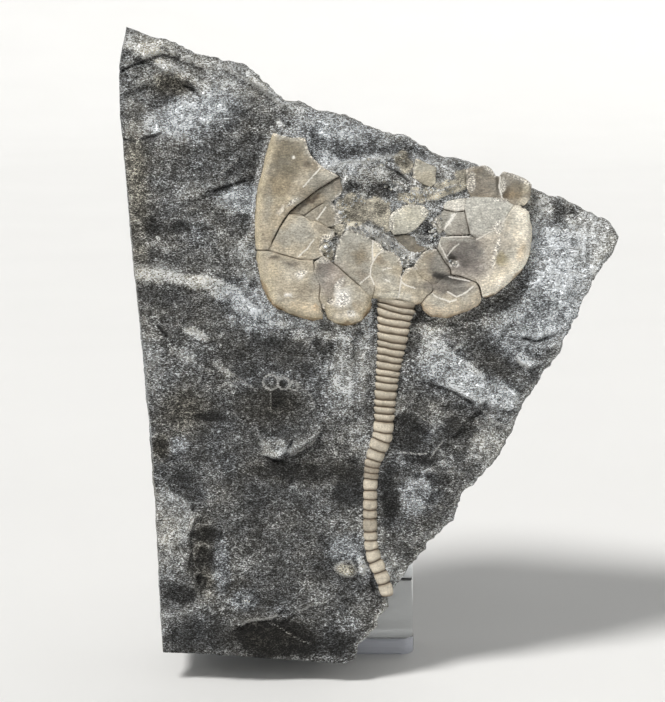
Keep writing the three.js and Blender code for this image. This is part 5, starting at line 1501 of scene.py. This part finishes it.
# %% Loose grains
GRAIN_ZONES = [  # how many, then as in SWELLS
    (64, 0.5, 60.3, 3.4, 0.5, -22), (60, 3.9, 57.8, 2.2, 0.6, -42), (34, 8.8, 60.6, 0.8, 1.4, 15),
    (40, -0.5, 69.6, 3.6, 1.1, 8), (40, 3, 67, 3, 0.9, -6), (44, 8.6, 66.2, 3.4, 0.8, 6),
    (26, -4, 63.4, 0.7, 1.6), (24, -5.8, 58.4, 0.7, 1), (6, 11.6, 56.1, 0.5, 0.35), (30, 6, 64.9, 3, 0.5),
    (40, 5, 56.2, 0.9, 0.7), (30, 4.5, 54.9, 0.3, 0.7), (24, -2, 65.2, 1.8, 1.4),
    (7, 9.4, 62.6, 0.5, 1.2, 30), (4, -9, 72.4, 0.5, 1.4), (7, -1.3, 14.4, 0.4, 1.3, 8),
    (4, 6.3, 49.3, 0.3, 0.25), (4, 12.3, 44.5, 0.5, 0.3, 30), (4, -17.4, 8.8, 0.6, 0.35),
]
BALL = (5, 8)  # rings, and points in each


def face_level(s, t):
    """Height of the block's surface at given places: that of the nearest point of its grid."""
    picked = [int(np.argmin(np.hypot(front[:, 0] - a, front[:, 1] - b))) for a, b in zip(s, t)]
    return front[picked, 2]


def grains():
    """Each grain is a ball of rings, pushed about at random, squashed, turned and set down."""
    draw = np.random.default_rng(301)
    places = []
    for count, cs, ct, rs, rt, *angle in GRAIN_ZONES:
        along, over = draw.normal(0, 0.5, (2, count)) * [[rs], [rt]]
        angle = math.radians(sum(angle))
        c, d = math.cos(angle), math.sin(angle)
        places.append(np.column_stack([cs + along * c - over * d, ct + along * d + over * c]))
    places = np.vstack(places)
    level = np.where(cover(*places.T)[0] > 0.1, THECA_TOP - 0.2, face_level(*places.T))
    latitude = np.linspace(0.35, np.pi - 0.35, BALL[0])[:, None]
    longitude = np.linspace(0, 2 * np.pi, BALL[1], endpoint=False)
    ball = ringed(np.stack(np.broadcast_arrays(
        np.sin(latitude) * np.cos(longitude), np.sin(latitude) * np.sin(longitude), np.cos(latitude)),
        axis=-1))
    count = len(places)
    size = 0.10 + 0.17 * draw.random((count, 1, 1)) ** 2
    shape = ball[None] * (1 + 0.35 * draw.uniform(-1, 1, (count, len(ball), 1)))
    shape = shape * size * draw.uniform(0.6, 1.25, (count, 1, 3))
    spin, tip = draw.uniform(0, 2 * np.pi, count), draw.uniform(-0.9, 0.9, count)
    zero, one = np.zeros(count), np.ones(count)
    c, d = np.cos(spin), np.sin(spin)
    about_n = np.stack([c, -d, zero, d, c, zero, zero, zero, one], axis=-1).reshape(-1, 3, 3)
    c, d = np.cos(tip), np.sin(tip)
    about_s = np.stack([one, zero, zero, zero, c, -d, zero, d, c], axis=-1).reshape(-1, 3, 3)
    shape = np.einsum("gij,gjk,gvk->gvi", about_n, about_s, shape)
    middles = np.column_stack([places, level + 0.1 * size[:, 0, 0]])
    points = (shape + middles[:, None]).reshape(-1, 3)
    offsets = (np.arange(count) * len(ball))[:, None, None]
    faces = [(f[None] + offsets).reshape(-1, f.shape[1]) for f in ring_faces(*BALL)]
    pale = np.repeat(draw.uniform(0.38, 0.82, count), len(ball))
    warm = np.repeat(draw.uniform(-0.6, 0.4, count), len(ball))
    away = np.full(len(points), -2.0)
    numbers = {"tone": pale, "leaning": warm, "pale_line": away, "dark_line": away}
    piece = add_mesh("loose_calcite_grains", in_world(*points.T), faces, numbers)
    piece.data.polygons.foreach_set("use_smooth", np.zeros(len(piece.data.polygons), bool))
    return place(piece, "limestone", stone)


print("grains:", len(grains().data.polygons), "faces")

# %% [markdown]
# The easel is one strip of acrylic, bent warm over a rod: a ledge in front, a back rest and a
# rear leg. So it is a rounded oblong section carried along straight stretches joined by arcs,
# narrowed along a quarter circle at the ledge's front. The foot of the leg is cut level.

# %% The easel's shape
SHEET, BACK_GAP = 2.4, 0.3  # mm
EASEL_SIDES = (-25.3, 6.7)
LEDGE_FRONT, REST_TOP, LEG_FOOT = 13.6, 56.0, 55.0
BEND_RADIUS, CORNER_RADIUS, EDGE_RADIUS = 3.3, 2.2, 0.28
BEND_STEPS, EDGE_ANGLES = 24, 7


def bent_line(corners, step):
    """A polyline of (y, z) corners with arcs at the bends, read at even steps: places and headings."""
    dots, points = np.array(corners, float), []
    for k, corner in enumerate(dots):
        if k in (0, len(dots) - 1):
            points.append(corner[None])
            continue
        into, out = corner - dots[k - 1], dots[k + 1] - corner
        into, out = into / np.linalg.norm(into), out / np.linalg.norm(out)
        turn = math.atan2(into[0] * out[1] - into[1] * out[0], into @ out)
        start = corner - into * BEND_RADIUS * math.tan(abs(turn) / 2)
        normal = np.sign(turn) * np.array([-into[1], into[0]])
        angle = np.linspace(0, turn, BEND_STEPS)[:, None]
        points.append(start + BEND_RADIUS * (np.sin(np.abs(angle)) * into + (1 - np.cos(angle)) * normal))
    line = np.vstack(points)
    length = travelled(line)[-1]
    even = np.linspace(0, length, int(length / step))
    even = np.unique(np.r_[np.linspace(0, CORNER_RADIUS, BEND_STEPS), even[even > CORNER_RADIUS]])
    line = read_at(line, even)
    way = np.gradient(line, axis=0)
    return line, way / np.linalg.norm(way, axis=1, keepdims=True), even


def easel():
    """The section is an oblong with rounded edges; each station turns it square to the line."""
    behind = BLOCK_THICK + BACK_GAP + SHEET / 2

    def rest_at(t):
        """The back rest's middle line at t up the face, as y and z."""
        return np.array([t * math.sin(LEAN) + behind * math.cos(LEAN),
                         FACE_AT[2] + t * math.cos(LEAN) - behind * math.sin(LEAN)])

    knee = rest_at((SHEET / 2 - FACE_AT[2] + behind * math.sin(LEAN)) / math.cos(LEAN))
    crest = rest_at(REST_TOP + 2 * BEND_RADIUS)
    line, way, along = bent_line([(LEDGE_FRONT, SHEET / 2), knee, crest, (LEG_FOOT, -SHEET)], 0.9)

    def rounded(radius):
        """What a quarter circle at the strip's start takes off, 0 beyond its radius."""
        return np.sqrt(radius ** 2 - np.maximum(0, radius - along) ** 2) - radius

    half_wide = (EASEL_SIDES[1] - EASEL_SIDES[0]) / 2 + rounded(CORNER_RADIUS)
    half_thick = SHEET / 2 + rounded(EDGE_RADIUS)
    quarter, quarters = np.linspace(0, np.pi / 2, EDGE_ANGLES), np.arange(4) * np.pi / 2
    section_angle = (quarters[:, None] + quarter).ravel()
    wide_sign, thick_sign = (
        np.repeat(np.sign(wave(quarters + 0.7)), EDGE_ANGLES) for wave in (np.cos, np.sin))
    s = (wide_sign * (half_wide[:, None] - EDGE_RADIUS) + EDGE_RADIUS * np.cos(section_angle)
         + sum(EASEL_SIDES) / 2)
    e = thick_sign * (half_thick[:, None] - EDGE_RADIUS) + EDGE_RADIUS * np.sin(section_angle)
    y = line[:, 0, None] - way[:, 1, None] * e
    z = line[:, 1, None] + way[:, 0, None] * e
    sunk_in = np.minimum(z, 0)
    y -= sunk_in * (way[:, 0] / np.where(np.abs(way[:, 1]) > 0.5, way[:, 1], np.inf))[:, None]
    z -= sunk_in
    return np.stack([FACE_AT[0] + s, FACE_AT[1] + y, z], axis=-1) * MM


stations = easel()
print("easel:", stations.shape[0], "stations of", stations.shape[1], "points")

# %% [markdown]
# Clear acrylic bends light less than glass and keeps a faint cool tint in its depth. The
# front edge of the ledge and the foot of the leg were left as the saw made them, frosted.

# %% The easel's finish
def acrylic():
    """Clear, with a polish that varies a little."""
    f = Finish("clear_acrylic")
    f.set(Base_Color=(0.97, 0.985, 0.99, 1.0), Transmission_Weight=1.0, IOR=1.49)
    return f.set(Roughness=0.02 + f.noise(9.0).smooth(0.55, 0.9) * 0.04)


def sawn_acrylic():
    """Milky, with fine saw marks."""
    f = Finish("sawn_acrylic")
    f.set(Transmission_Weight=0.25, IOR=1.49, Roughness=0.5)
    saw_marks = f.noise(0.3, 2.0, 0.6, (30.0, 1.0, 1.0))
    f.set(Base_Color=f.mix(saw_marks, colour(196, 200, 212), colour(228, 231, 240)))
    return f.set(Normal=f.bump(saw_marks, 0.05, 0.5))


stand = add_mesh("acrylic_easel", ringed(stations), ring_faces(*stations.shape[:2]), {})
place(stand, "clear_acrylic", acrylic(), "easel")
stand.data.materials.append(sawn_acrylic())
normals, centres = np.zeros((2, len(stand.data.polygons), 3))
stand.data.polygons.foreach_get("normal", normals.ravel())
stand.data.polygons.foreach_get("center", centres.ravel())
y, z = centres[:, 1] / MM - FACE_AT[1], centres[:, 2] / MM
front_cut = (normals[:, 1] < -0.25) & (y < LEDGE_FRONT + CORNER_RADIUS)
foot_cut = (normals[:, 2] < -0.5) & (y > LEG_FOOT - 5 * SHEET) & (z < EDGE_RADIUS)
stand.data.polygons.foreach_set("material_index", (front_cut | foot_cut).astype(np.int32))
print("frosted faces:", int(front_cut.sum()), "in front and", int(foot_cut.sum()), "under the leg")

# %% [markdown]
# The floor is a pale disc that curves up all round into a wall, so that there is no horizon.
# It is a line from the middle out and up, turned about an axis.

# %% Floor
def cove():
    """A flat disc, a quarter circle of its own radius and a short wall, in metres."""
    reach, high = 0.9, 1.5
    bend = np.linspace(0, np.pi / 2, 24)[1:]
    radius = np.r_[np.linspace(0.02, reach, 12), reach * (1 + np.sin(bend)), 2 * reach]
    level = np.r_[np.zeros(12), reach * (1 - np.cos(bend)), high]
    angle = np.linspace(0, 2 * np.pi, 96, endpoint=False)
    points = np.stack(np.broadcast_arrays(
        radius[:, None] * np.cos(angle), radius[:, None] * np.sin(angle), level[:, None]), axis=-1)
    faces = ring_faces(len(radius), len(angle))[:2]
    piece = add_mesh("floor", ringed(points)[:-1], faces, {})
    f = Finish("pale_paper")
    f.set(Roughness=0.8, Base_Color=f.mix(f.noise(60.0), colour(231, 231, 230), colour(236, 236, 235)))
    piece.data.materials.append(f.material)
    return piece


floor = cove()
print("floor:", len(floor.data.polygons), "faces")
